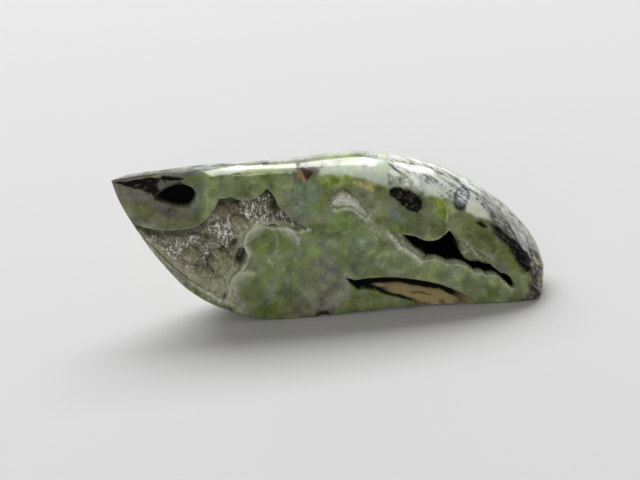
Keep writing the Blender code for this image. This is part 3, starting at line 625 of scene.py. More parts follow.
    ("green in strip", (102, 118, 58), 0.3, 0.9, [(5.4, 3.6), (6.9, 3.7), (7.5, 2.7), (6.3, 2.3),
     (5.3, 2.8)]),
    ("green in strip", (104, 120, 60), 0.3, 0.8, [(8.2, 2.9), (9.6, 2.8), (10, 2), (8.8, 1.7), (8, 2.1)]),
    ("green in strip", (104, 118, 62), 0.3, 0.9, [(10.9, 2.4), (12.4, 2.4), (12.8, 1.5), (11.6, 1.3),
     (10.7, 1.7)]),
    ("green in strip", (102, 116, 60), 0.3, 0.9, [(13.6, 1.7), (15.6, 1.6), (16, 0.4), (14.3, 0.3),
     (13.5, 1)]),
    ("green in strip", (88, 99, 44), 0.3, 0.95, [(16.2, 1.1), (17.8, 0.7), (18.1, -0.5), (16.6, -0.5)]),
    ("low green", (96, 107, 58), 0.4, 0.85, [(2.1, 3.3), (5.2, 3.3), (5.5, 2), (2.3, 1.8)]),
    ("low green", (94, 106, 40), 0.2, 0.9, [(4.1, 2.5), (5.9, 2.6), (6, 1.7), (4.3, 1.7)]),
    ("yellow foot", (138, 144, 92), 0.3, 0.9, [(1.1, -0.7), (5.4, -0.8), (5.9, -1.6), (1.3, -1.8)]),
    ("chip", (74, 68, 54), 0.14, 0.9, [(-1.5, -1.9), (-1, -1.7), (-0.2, -1.8), (0.4, -2), (-0.4, -2.4),
     (-1.3, -2.5)]),
    ("pale by the chip", (176, 172, 156), 0.12, 0.8, [(-1, -1.4), (-0.3, -1.2), (-0.1, -1.7),
     (-0.8, -1.7)]),
    ("grey-brown rim", (126, 125, 100), 0.2, 1, [(-20.6, 7.2), (-17.4, 6), (-15.3, 4), (-12.9, 2),
     (-11.1, 0.5), (-10.1, -0.2), (-8.7, -2), (-10.5, -1.7), (-13.8, 0.4), (-16.8, 3.1), (-19.4, 6)]),
    ("grey rim end", (160, 162, 137), 0.2, 0.9, [(-11.1, 0.2), (-9.7, 0.2), (-8.9, -1.1), (-7.6, -2.1),
     (-9.3, -2.1), (-10.7, -1)]),
    ("green foot", (95, 109, 42), 0.3, 1, [(-7.3, -1), (-5.3, -1), (-5.2, -2.6), (-7, -2.6)]),
    ("olive left foot", (118, 128, 72), 0.3, 0.9, [(-8.6, -0.6), (-7.3, -0.6), (-7.1, -2.4),
     (-8.3, -2.2)]),
    ("green between", (110, 127, 66), 0.4, 0.9, [(-7, 3.8), (-4.3, 3.9), (-3.9, 2.3), (-5.2, 1.2),
     (-6.8, 1.8)]),
    ("olive centre", (98, 113, 50), 0.35, 0.95, [(-5.2, 1.3), (-3.3, 1.1), (-2.9, -0.2), (-4.6, -0.9),
     (-5.4, 0)]),
    ("blue-grey centre", (120, 134, 104), 0.3, 0.85, [(-6.8, 1), (-5.5, 1.2), (-5.4, -0.4), (-6.4, -0.9),
     (-6.9, 0.2)]),
]
lines = [
    ((84, 104, 48), 0.09, 0.8, [(2, 6), (2.4, 6.6), (3.2, 6.8), (4.1, 6.7), (4.9, 6)]),
    ((90, 112, 54), 0.1, 0.7, [(-1.2, 6.4), (0, 6.3), (1.5, 6), (2, 5.8)]),
    ((170, 174, 140), 0.07, 0.5, [(13, 6.8), (13.8, 6), (14.6, 5.1), (15.5, 4.6)]),
    ((170, 176, 140), 0.06, 0.7, [(16.8, 3.3), (17.4, 4.1), (17.8, 4.7)]),
    ((160, 166, 130), 0.06, 0.45, [(14.6, 6.4), (15.5, 6), (16.1, 5.2), (17, 4.5)]),
    ((150, 158, 120), 0.08, 0.6, [(12.4, 6.5), (12.7, 6), (13.4, 5.3)]),
    # painted shadow: the next two are dark lines along the middle hollow's upper lip
    ((92, 88, 74), 0.12, 0.85, [(0.6, 10.4), (1.2, 10.8), (2, 10.6), (2.6, 10.2)]),
    ((58, 50, 38), 0.1, 0.9, [(1.5, 10.7), (2.3, 10.3), (2.9, 9.6), (3.3, 9)]),
    ((40, 36, 26), 0.1, 0.8, [(-16.7, 8.3), (-16.2, 8.8)]),
    ((62, 70, 40), 0.12, 0.6, [(-16.5, 7), (-16.3, 8), (-16.2, 8.8)]),
    ((127, 128, 112), 0.35, 0.8, [(-22.1, 11.4), (-21.3, 9.4), (-20, 7.3)]),
    ((190, 196, 170), 0.1, 0.9, [(-12, 8.2), (-11.5, 9.2), (-11.2, 9.9)]),
    ((105, 122, 72), 0.25, 0.7, [(-12.7, 10.1), (-12.8, 9.1), (-13.2, 8.3)]),
    ((170, 172, 166), 0.12, 0.7, [(-18.3, 12.6), (-15.3, 13), (-11.8, 13.4)]),
    ((70, 74, 66), 0.1, 0.9, [(-15.2, 12.2), (-14.7, 12.3), (-13.9, 12.5)]),
    ((90, 94, 84), 0.08, 0.8, [(-13.6, 12.4), (-13.2, 12.6)]),
    ((216, 228, 182), 0.1, 0.9, [(-10, 12.1), (-7.5, 12.3), (-5.7, 12.4), (-3.9, 12.4)]),
    ((150, 160, 120), 0.08, 0.8, [(-9.3, 12.4), (-7.4, 12.5), (-5.7, 12.5)]),
    ((48, 45, 38), 0.09, 0.9, [(-3, 13), (-2.4, 13.2), (-1.8, 13), (-1.5, 12.5)]),
    ((178, 158, 112), 0.09, 0.85, [(2.8, 11.7), (3.7, 11.2), (4.6, 10.5)]),
    ((150, 130, 88), 0.07, 0.7, [(3.3, 11.6), (4.1, 11.2)]),
    ((120, 127, 118), 0.07, 0.8, [(3, 13.7), (4.1, 14.9)]),
    ((120, 127, 118), 0.07, 0.8, [(3.4, 13.1), (4.8, 13.9), (5.2, 14.8)]),
    ((172, 179, 172), 0.12, 0.8, [(5.9, 14.5), (7.4, 13.6), (8.6, 12.7), (9.8, 11.3)]),
    ((188, 194, 187), 0.2, 0.8, [(9.6, 12.8), (11.1, 11.6), (12.7, 10.2)]),
    ((160, 166, 150), 0.18, 0.85, [(10.6, 12.6), (12.1, 11.8), (13.3, 11.1)]),
    ((200, 206, 200), 0.15, 0.8, [(6.1, 14.3), (7.1, 13.9), (8, 13.3)]),
    ((112, 118, 110), 0.1, 0.8, [(7.8, 14.2), (10, 13.4), (12.1, 12.5), (14.1, 11.2)]),
    ((88, 93, 86), 0.13, 0.85, [(10.5, 13.1), (13.2, 11.9), (15.8, 10.1)]),
    ((60, 62, 55), 0.22, 0.85, [(15.4, 10.4), (17.5, 9.1), (19.3, 7.4), (21.2, 5.4), (22.5, 3.1)]),
    ((92, 95, 88), 0.12, 0.8, [(14.8, 11.5), (17, 10), (18.9, 8.3), (20.5, 6.4)]),
    ((206, 219, 170), 0.08, 0.85, [(11.6, 9.8), (12.1, 9.1), (12.3, 8.2), (12.1, 7.4)]),
    ((186, 192, 160), 0.09, 0.5, [(7.7, 6.9), (8.8, 6), (9.9, 5.6), (11.2, 5.7), (12, 6.2), (12.5, 6.7)]),
    ((150, 164, 110), 0.1, 0.9, [(-5.4, 6), (-5.5, 5), (-5.7, 4.3)]),
    ((165, 173, 132), 0.08, 0.9, [(-6.4, 3.6), (-5.9, 3.1), (-5.9, 2.7)]),
    ((138, 150, 112), 0.07, 0.8, [(-6.6, 1.2), (-6.2, 0.4), (-5.9, -0.2)]),
    ((86, 102, 42), 0.18, 0.8, [(-4.2, 2.3), (-3.9, 1.3), (-4.1, 0.3)]),
    ((196, 204, 158), 0.09, 0.95, [(4.8, 3.2), (5.2, 2.7), (5.7, 3.2)]),
    ((112, 136, 62), 0.12, 0.8, [(0, 6.5), (0.8, 6.4), (1.6, 6.1)]),
    ((196, 202, 176), 0.08, 0.35, [(-2.2, 6.7), (-1, 6.6), (0.4, 6.6), (1.6, 6.4)]),
    ((150, 164, 128), 0.1, 0.8, [(2.1, 6.5), (2.6, 6.8), (3.4, 7), (4.3, 6.7)]),
    ((160, 172, 136), 0.09, 0.8, [(4.8, 5.8), (4.9, 4.9), (4.4, 4.3), (3.6, 4), (2.7, 4.2)]),
    ((150, 160, 120), 0.1, 0.35, [(5.6, 3.3), (6.5, 3.9), (7.5, 4.1)]),
    ((166, 176, 134), 0.09, 0.35, [(7.9, 3.3), (7.7, 2.7), (7.5, 1.9)]),
    ((166, 176, 134), 0.09, 0.35, [(10.2, 3.1), (10.5, 2.4), (10.3, 1.5)]),
    ((166, 176, 134), 0.09, 0.35, [(13.1, 2.5), (13.2, 1.8), (13, 0.8)]),
    ((166, 176, 134), 0.09, 0.35, [(16.1, 1.5), (16.2, 0.7), (16, -0.3)]),
]
spots = [
    ((240, 243, 230), 0.1, 0.8, [(-0.1, 9.4), (0.1, 9), (0.4, 9.8), (0.7, 10), (1.2, 9.4), (1.7, 9),
     (2.3, 8.9), (2.9, 8.5), (3.5, 8.1), (4.1, 7.7), (0.3, 9.4), (4.4, 7.4), (0.8, 9), (3.2, 8.1)]),
    ((206, 210, 190), 0.08, 0.7, [(6.4, 6), (6.7, 5.7), (6.9, 5.4), (7.1, 5), (7.4, 4.7), (7.7, 4.4),
     (8, 4.1), (8.3, 3.9), (6.3, 5.7), (7.2, 4.4)]),
    ((232, 214, 160), 0.1, 0.95, [(2.6, 11.6), (3.1, 11.5), (3.5, 11.2), (3.8, 11), (4.3, 10.7),
     (3.3, 11), (2.9, 11.3)]),
    ((150, 128, 84), 0.12, 0.8, [(3, 11.1), (3.7, 10.7), (4.2, 10.9)]),
    # painted glints on the ball
    ((252, 253, 255), 0.17, 1, [(13.6, 10.7), (14, 10.5), (13.7, 10.2), (14, 10.1), (13.5, 9.8)]),
    ((120, 119, 110), 0.11, 0.8, [(7.2, 10.4), (7.7, 10.1), (8.3, 9.8), (8.6, 9.2), (7, 10.1), (8, 9.4),
     (8.9, 9.4)]),
    ((178, 184, 150), 0.1, 0.8, [(5.2, 3.2), (5.5, 3), (6.9, 5.8), (7.2, 5.5), (7.5, 4.9), (8.1, 4.3),
     (6.4, 6.3), (7.7, 4.6)]),
    ((226, 230, 214), 0.09, 0.9, [(6.2, 6.4), (6.6, 6.1), (7, 5.7), (7.3, 5.2), (9.8, 3.5), (10.5, 3.7),
     (11.2, 3.6), (16.4, 1.8), (15.3, 2.1)]),
    ((40, 42, 22), 0.14, 0.8, [(10.7, 7.2), (11, 7), (13, 7.9), (12.1, 7)]),
    ((176, 184, 142), 0.13, 0.9, [(-6.3, 3.4), (-5.8, 3.1), (-5.4, 4.5), (-4.6, 2.5), (-5.4, 1.8),
     (-5.9, -0.1), (-3.7, 2), (-3.6, 3.6), (-3.1, 3)]),
    ((160, 161, 146), 0.14, 0.8, [(-0.8, 1.9), (-0.5, 0.6), (0, 2.7), (0.5, 1.4), (-1.2, 3.3), (1.1, 0.2),
     (-0.4, -0.3)]),
    ((118, 140, 58), 0.3, 0.8, [(-3.1, 0.7), (-3.4, 2.7), (-1.4, 4.9), (-2.7, 4.9)]),
    ((60, 62, 24), 0.2, 0.9, [(10.8, 7.3)]),
    ((66, 70, 26), 0.16, 0.85, [(14.6, 6.6), (13.5, 7.2)]),
    ((120, 128, 62), 0.25, 0.7, [(-19.2, 8.9), (-14.7, 7.4), (-16.1, 7.2)]),
    ((110, 114, 82), 0.22, 0.7, [(-10.7, 10.7), (-8.2, 10.9), (-9.6, 11.2), (-7.7, 10.5)]),
    ((150, 160, 128), 0.2, 0.7, [(-3, 10.7), (-2, 10.1), (-2.7, 9.2), (-1.6, 10.9)]),
]

# Colours are as they look, 0 to 255. Spherules are round sections of radiating crystals:
# place, radius, where its pale edge shows as a stretch of angle in degrees, the edge's tone, the
# stretch across that it keeps to, its middle, and tones outwards from there by share of radius.
# The pale edge is partly white crystals and partly a painted highlight.
spherules = [
    {"at": (-7.2, 5.3), "radius": 1.8, "edge": (70, 235), "edgeTone": (214, 222, 196),
     "within": (-9.5, -5.4), "core": (-7.0, 5.0),
     "tones": [(0.0, (102, 120, 44)), (0.5, (110, 127, 56)), (0.66, (150, 157, 122)),
               (0.97, (180, 186, 160))]},
    {"at": (-4.75, 5.35), "radius": 1.6, "edge": (-20, 115), "edgeTone": (204, 213, 194),
     "within": (-5.4, -2.0), "core": (-4.8, 4.9),
     "tones": [(0.0, (100, 120, 44)), (0.5, (108, 126, 56)), (0.78, (148, 158, 128)),
               (0.97, (172, 182, 160))]},
    {"at": (-8.1, 0.6), "radius": 1.95, "edge": (70, 200), "edgeTone": (196, 200, 174),
     "within": (-11.0, -5.0), "core": (-7.8, 0.2),
     "tones": [(0.0, (88, 104, 32)), (0.45, (98, 113, 44)), (0.66, (134, 141, 106)),
               (0.88, (176, 180, 154)), (0.97, (184, 188, 164))]},
    {"at": (3.35, 5.45), "radius": 1.35, "edge": (-30, 390), "edgeTone": (142, 155, 120),
     "within": (1.0, 6.0), "core": (3.35, 5.45),
     "tones": [(0.0, (142, 158, 130)), (0.25, (128, 146, 110)), (0.45, (114, 132, 88)),
               (0.62, (130, 146, 108)), (0.8, (110, 130, 78)), (0.97, (122, 139, 94))]},
]
fibres = {"count": 26, "share": 0.1}
groundTones = {"base": (128, 137, 98), "green": (100, 117, 48), "grey": (144, 146, 124), "patch": 1.7}
wander = {"reach": 0.3, "size": 0.9}   # how far the edges of marks stray
# how the front's tones drift: patch size and how far, for lightness, for hue and for grain
drift = {"light": (0.85, 0.62), "hue": (1.1, 0.42), "grain": (0.17, 0.16)}
# Areas with fine streaks: outline, direction in degrees, streak length and width, dark tone and
# share, pale tone and share
streaked = [
    ([(-22.9, 11.7), (-16.8, 13.0), (-8.5, 14.0), (-8.5, 13.3), (-13.0, 12.5), (-17.0, 12.2),
      (-20.5, 11.5)], 11, 1.2, 0.12, (44, 45, 40), 0.85, (196, 198, 192), 0.6),
    ([(6.2, 15.0), (9.5, 14.4), (13.0, 13.0), (16.0, 11.2), (17.0, 9.4), (16.0, 8.6), (14.2, 9.3),
      (12.8, 9.8), (11.2, 10.0), (9.8, 10.6), (8.5, 12.2), (6.4, 12.6)],
     -38, 1.6, 0.16, (84, 90, 80), 0.9, (236, 238, 232), 0.8),
    ([(14.2, 12.6), (17.5, 10.8), (20.6, 7.6), (22.9, 3.2), (22.3, 1.0), (21.4, 3.6), (19.8, 5.2),
      (17.6, 7.2), (15.2, 9.6)], -48, 0.6, 0.11, (30, 31, 26), 0.9, (206, 207, 202), 0.75),
    ([(20.9, 3.3), (20.6, 0.9), (20.1, -1.2), (22.9, -1.2), (22.9, 2.6), (22.2, 3.6)],
     -75, 0.26, 0.12, (20, 19, 15), 0.85, (150, 148, 138), 0.6),
    ([(6.0, 13.8), (8.4, 14.0), (10.2, 12.6), (10.8, 10.9), (9.4, 10.5), (8.2, 11.1), (6.7, 11.3),
      (6.0, 10.9)], -38, 0.7, 0.32, (74, 76, 70), 0.6, (250, 252, 248), 0.85),
    ([(16.6, 7.4), (18.9, 5.7), (20.4, 4.5), (21.3, 2.8), (21.4, 1.6), (20.2, 2.4), (19.1, 3.9),
      (17.7, 5.5)], -50, 0.4, 0.13, (6, 6, 4), 0.9, (92, 92, 84), 0.5),
    ([(-20.6, 7.2), (-17.5, 3.3), (-14.4, 0.2), (-11.1, -1.5), (-8.6, -2.3), (-9.2, -0.7), (-11.1, 0.4),
      (-12.9, 1.6), (-15.4, 4.0), (-18.0, 6.8)], -46, 0.5, 0.18, (78, 76, 56), 0.7, (182, 182, 154), 0.6),
    ([(-21.9, 11.5), (-15.0, 12.1), (-14.2, 11.3), (-17.2, 9.4), (-19.2, 10.3)],
     12, 0.5, 0.16, (5, 5, 3), 0.95, (92, 90, 82), 0.25),
    ([(6.1, 10.8), (8.4, 11.0), (9.9, 9.4), (9.2, 8.2), (7.0, 9.2)],
     -35, 0.6, 0.16, (5, 5, 3), 0.9, (80, 80, 74), 0.4),
]


def layOver(colour, tone, share):
    # blends a tone over the colours by a share for each point
    return colour + (linear(*tone) - colour) * share[..., None]


def plain(tone, shape):
    # one tone at every point
    return np.broadcast_to(linear(*tone), (*shape, 3))


def onPlane(points):
    # (across, up) of points on the marks' plane
    turn, tilt = markPlane["turn"], markPlane["tilt"]
    x, y, z = points[..., 0], points[..., 1], points[..., 2]
    across = x * math.cos(turn) + y * math.sin(turn)
    return across, (y * math.cos(turn) - x * math.sin(turn)) * math.sin(tilt) + z * math.cos(tilt)


def towardPlane(normals):
    # cosine between each normal and the direction the marks are seen from
    turn, tilt = markPlane["turn"], markPlane["tilt"]
    out = (math.sin(turn) * math.cos(tilt), -math.cos(turn) * math.cos(tilt), math.sin(tilt))
    return normals @ np.array(out)


def paintStreaks(colour, across, up, flat, stray):
    # noise drawn out along one direction: dark streaks above a value of it, pale ones below
    for outline, angle, length, width, dark, darkShare, pale, paleShare in streaked:
        near = nearShape(across, up, outline, 0.3)
        gap, _, _ = distanceTo(across[near], up[near], outline)
        way = np.radians(angle)
        run = across * np.cos(way) + up * np.sin(way)
        over = up * np.cos(way) - across * np.sin(way) + stray * 0.4
        field = np.stack([run / length, over / width, 0 * run], axis=-1)[near]
        grain = 0.6 * smoothNoise(field, 1.0, 401) + 0.4 * smoothNoise(field * 2.1, 1.0, 411)
        grain = grain + 0.25 * cloud(flat[near], 1.1, 2, 421)
        cover = smoothStep(-0.1, 0.25, gap)
        colour[near] = layOver(colour[near], dark, smoothStep(0.12, 0.42, grain) * darkShare * cover)
        colour[near] = layOver(colour[near], pale, smoothStep(-0.18, -0.45, grain) * paleShare * cover)
    return colour


def paintSpherule(colour, ball, across, up, flat, stray):
    # tones by distance from the middle, with fine rays, and a broken pale edge on one side: white crystals
    # with a painted highlight
    da, du = across - ball["at"][0], up - ball["at"][1]
    away = np.hypot(da, du) / ball["radius"] + stray * 0.45
    near = away < 1.12
    coreAway = np.hypot(across - ball["core"][0], up - ball["core"][1]) / ball["radius"]
    angle = np.arctan2(du, da)
    start, end = np.radians(ball["edge"])
    spread = (end - start) / 2
    turned = np.abs((angle - (start + end) / 2 + np.pi) % (2 * np.pi) - np.pi)
    crisp = smoothStep(spread + 0.2, spread - 0.3, turned)
    level = (np.maximum(coreAway * 0.9, away) * (0.6 + 0.4 * crisp))[near]
    steps = [step for step, _ in ball["tones"]]
    shades = np.array([linear(*tone) for _, tone in ball["tones"]])
    body = np.stack([np.interp(level, steps, shades[:, k]) for k in range(3)], axis=-1)
    rays = np.stack([angle * fibres["count"], away * 1.5, 0 * away], axis=-1)[near]
    body = body * (1 + fibres["share"] * smoothNoise(rays, 1.0, 61) * smoothStep(0.1, 0.5, level))[:, None]
    inner, outer = ball["within"]
    place = across + stray
    held = smoothStep(inner - 0.08, inner + 0.08, place) * smoothStep(outer + 0.08, outer - 0.08, place)
    cover = smoothStep(1.0, 0.55 + 0.38 * crisp, away) * held
    colour[near] = colour[near] + (body - colour[near]) * cover[near][:, None]
    # the pale edge: white crystals with a painted highlight
    edge = smoothStep(0.2, 0.02, np.abs(away - 0.92)) * crisp * held
    grit = 0.2 + 0.8 * smoothStep(-0.2, 0.4, smoothNoise(flat, 0.19, 71))
    return layOver(colour, ball["edgeTone"], edge * grit * 0.65)


def driftTones(colour, flat):
    # lightness and hue drift in clouds; pale tones drift less, so that white stays white
    free = smoothStep(0.75, 0.3, colour.mean(axis=-1)) * 0.8 + 0.2
    light = drift["light"][1] * cloud(flat, drift["light"][0], 4, 431)
    light = 1 + free * (light - 0.08 + drift["grain"][1] * smoothNoise(flat, drift["grain"][0], 441))
    hue = free * drift["hue"][1] * cloud(flat, drift["hue"][0], 3, 451)
    red, green, blue = 1 - 0.025 * free - 0.1 * hue, 1 + 0.1 * hue, 1 - 0.08 * free - hue
    return colour * np.stack([light * red, light * green, light * blue], axis=-1)


def paintFront(across, up):
    # the ground in soft clouds, the areas and their streaks, then spherules, lines and spots
    flat = np.stack([across, up, np.zeros(across.shape)], axis=-1)
    patch = groundTones["patch"]
    colour = plain(groundTones["base"], across.shape)
    colour = layOver(colour, groundTones["green"], smoothStep(0.0, 0.4, cloud(flat, patch, 3, 21)) * 0.85)
    colour = layOver(colour, groundTones["grey"], smoothStep(0.05, 0.5, cloud(flat, patch, 3, 31)) * 0.7)
    # shapes wander, and more where their edge is softer
    strayA = wander["reach"] * cloud(flat, wander["size"], 4, 41)
    strayU = wander["reach"] * cloud(flat, wander["size"], 4, 51)
    for _, tone, soft, strength, outline in areas:
        near = nearShape(across, up, outline, soft + 0.3)
        amount = 0.2 + soft * 2.6
        gap, _, _ = distanceTo((across + strayA * amount)[near], (up + strayU * amount)[near], outline)
        colour[near] = layOver(colour[near], tone, smoothStep(-soft * 1.2, soft * 1.2, gap) * strength)
    colour = paintStreaks(colour, across, up, flat, strayA)
    for ball in spherules:
        colour = paintSpherule(colour, ball, across, up, flat, strayA)
    broken = 0.3 + 0.7 * smoothStep(-0.35, 0.2, cloud(flat, 0.55, 2, 461))
    for tone, width, strength, run in lines:
        near = nearShape(across, up, run, width + 0.3)
        gap, _, _ = distanceTo((across + strayA * 0.6)[near], (up + strayU * 0.6)[near], run, closed=False)
        share = smoothStep(width, width * 0.3, gap) * strength * broken[near]
        colour[near] = layOver(colour[near], tone, share)
    for tone, radius, strength, places in spots:
        for place in places:
            away = np.hypot(across + strayA - place[0], up + strayU - place[1])
            colour = layOver(colour, tone, smoothStep(radius, radius * 0.4, away) * strength)
    return driftTones(colour, flat)


# What shows inside the open hollows, behind the polished face: the tone, and between which
# distances inside the rim it comes in
hollowTones = {"left": ((84, 80, 62), (0.0, 0.06)), "middle": ((150, 152, 128), (0.0, 0.06)),
               "deep": ((96, 102, 66), (-0.02, 0.15)), "pit": ((96, 102, 66), (-0.02, 0.15))}
# black is painted shadow under the tan hollow's upper rim
tanTones = {"ground": (150, 130, 84), "light": (176, 158, 112), "dark": (60, 48, 24), "black": (6, 5, 3),
            "wedge": (58, 55, 32)}
# pale grainy rims, partly a painted highlight where the lower lips face up: which hollow,
# the stretch of x it covers, on its low or high side, how wide, its tone
paleRims = [
    ("left", (-11.4, -2.9), "low", 0.25, (196, 202, 174)),
    ("deep", (8.6, 18.6), "low", 0.2, (184, 192, 160)),
    ("deep", (5.2, 8.8), "low", 0.5, (212, 216, 194)),
    ("middle", (-0.2, 3.4), "low", 0.4, (196, 204, 178)),
    ("left", (-15.2, -11.9), "low", 0.3, (236, 236, 216)),
    ("left", (-20.6, -12.0), "high", 0.12, (122, 126, 104)),
    ("left", (-19.5, -14.0), "low", 0.3, (160, 156, 132)),
]


def tanWall(points):
    # streaks that run with the tan hollow's upper rim, a dark wedge at its left, and a painted
    # shadow in black right under the rim
    x, z = points[..., 0], points[..., 2]
    rim = np.array(tanHollow["upperRim"])
    below = np.interp(x, rim[:, 0], rim[:, 1]) - z
    wave = below + 0.12 * cloud(points, 0.8, 2, 181)
    top = byX(hollows["tan"]["depth"], x)[..., 0]
    underRim = wave - 0.42 * top
    tan = plain(tanTones["ground"], x.shape)
    light = smoothStep(0.5, 1.0, wave - 0.4 * top) * smoothStep(4.0, 7.0, x)
    tan = layOver(tan, tanTones["light"], light * 0.7)
    streak = smoothNoise(np.stack([x * 0.45, wave * 3.4, 0 * x], axis=-1), 1.0, 191)
    tan = layOver(tan, tanTones["dark"], smoothStep(0.4, 0.65, streak) * 0.7)
    wedge = smoothStep(5.8, 4.4, x + 0.4 * cloud(points, 0.8, 2, 491))
    tan = layOver(tan, tanTones["wedge"], wedge * 0.85)
    tan = layOver(tan, tanTones["light"], wedge * smoothStep(0.9, 0.75, underRim) * smoothStep(1.4, 2.2, x))
    # painted shadow: black right under the upper rim
    return layOver(tan, tanTones["black"], smoothStep(0.68, 0.43, underRim) * smoothStep(14.6, 12.0, x))


def paintHollows(colour, points, grit, inside):
    # one tone inside each rim, then the shelves, the tan wall and the chip
    x, z = points[..., 0], points[..., 2]
    for name, (tone, fade) in hollowTones.items():
        colour = layOver(colour, tone, smoothStep(*fade, inside[name]))
    for shelf in shelves:
        onShelf, _, _ = distanceTo(x, z, shelf["outline"])
        share = smoothStep(-0.12, 0.08, onShelf) * (inside["deep"] > 0.02)
        shade = plain(shelf["tone"], x.shape)
        edge = smoothStep(0.35, 0.0, onShelf) * smoothStep(0.15, 0.45, inside["deep"])
        shade = layOver(shade, shelf["edgeTone"], edge)
        for crease in shelf["creases"]:
            gap, _, _ = distanceTo(x, z, crease, closed=False)
            shade = layOver(shade, shelf["creaseTone"], smoothStep(0.12, 0.03, gap) * 0.7)
        colour = colour + (shade * (0.7 + 0.6 * grit[..., None]) - colour) * share[..., None]
    rimShadow = smoothStep(0.3, 0.08, inside["tan"]) * smoothStep(9.5, 7.5, x)
    tan = layOver(tanWall(points), tanTones["black"], rimShadow)
    colour = np.where((inside["tan"] > 0.0)[..., None], tan, colour)
    return layOver(colour, chip["tone"], smoothStep(0.0, 0.1, inside["chip"]) * (0.5 + 0.5 * grit))


def sideOfRim(name, x, z):
    # True above the middle height of a hollow's rim at each x
    rim = scallops(hollows[name]["rim"], rimStep)
    steps = np.linspace(rim[:, 0].min(), rim[:, 0].max(), 60)
    reach = (steps[1] - steps[0]) * 0.75 + rimStep
    heights = [rim[np.abs(rim[:, 0] - step) < reach][:, 1] for step in steps]
    middle = [(height.min() + height.max()) / 2 for height in heights]
    return z > np.interp(x, steps, middle)


# The polish ends this far below the face. Dark chert, from one lightness to the next, takes
# less of it, and so does the top by the tip, from one x to the next. The darkest chert, by its
# lightness, swallows most light. The two open holes are painted black from just outside their
# rims: painted shade standing in for their dark insides.
polish = {"depth": (0.03, 0.15), "chert": (0.01, 0.06), "onChert": 0.25,
          "byTip": (-9.0, -13.0), "dull": 0.65,
          "murk": (0.035, 0.008), "murkShare": 0.85, "holeFrom": (-0.3, -0.05), "mottle": 0.1}


def stonePaint(points, normals, depth, inside):
    # the front's colours, and for each point how far it faces the front, how polished it is,
    # whether it lies in a hole painted black as shade and whether it is black chert
    across, up = onPlane(points)
    x, z, toward = points[..., 0], points[..., 2], towardPlane(normals)
    facing = smoothStep(-0.05, 0.15, toward)
    seen = facing > 0
    front = np.zeros(points.shape)
    front[seen] = paintFront(across[seen], up[seen])
    grit = smoothStep(-0.35, 0.35, smoothNoise(points, 0.16, 201))
    # pale rims along the hollows' lips: partly painted highlight
    for name, (low, high), side, width, tone in paleRims:
        gap = -inside[name]
        chosen = (sideOfRim(name, x, z) == (side == "high")) & (gap > -0.05) & (toward > 0.2)
        share = smoothStep(width * 1.4, width * 0.3, gap) * chosen
        share *= smoothStep(low - 0.4, low, x) * smoothStep(high + 0.4, high, x)
        front = layOver(front, tone, share * (0.4 + 0.6 * grit) * 0.9)
    colour = paintHollows(front, points, grit, inside)
    facing = np.maximum(facing, smoothStep(0.0, 0.1, inside["chip"]))
    shade, least = colour.mean(axis=-1), polish["onChert"]
    gloss = least + (1 - least) * smoothStep(*polish["chert"], shade)
    gloss = (1 - smoothStep(*polish["depth"], depth)) * gloss
    onTop = facing * smoothStep(*polish["byTip"], x) * smoothStep(0.3, 0.6, normals[..., 2])
    gloss = gloss * (1 - polish["dull"] * onTop)
    # painted shade: the deep hollow and the pit turn black inside their rims, and the shelves are kept out
    # of it
    hole = smoothStep(*polish["holeFrom"], inside["deep"])
    for shelf in shelves:
        onShelf, _, _ = distanceTo(x, z, shelf["outline"])
        hole = hole * smoothStep(0.1, -0.15, onShelf)
    hole = np.maximum(hole, smoothStep(*polish["holeFrom"], inside["pit"]))
    murk = smoothStep(*polish["murk"], shade) * polish["murkShare"] * (1 - hole) * facing
    mottled = colour * (1 + polish["mottle"] * cloud(points, 0.45, 2, 211))[..., None]
    return np.clip(mottled, 0, 1), facing, gloss, hole, murk
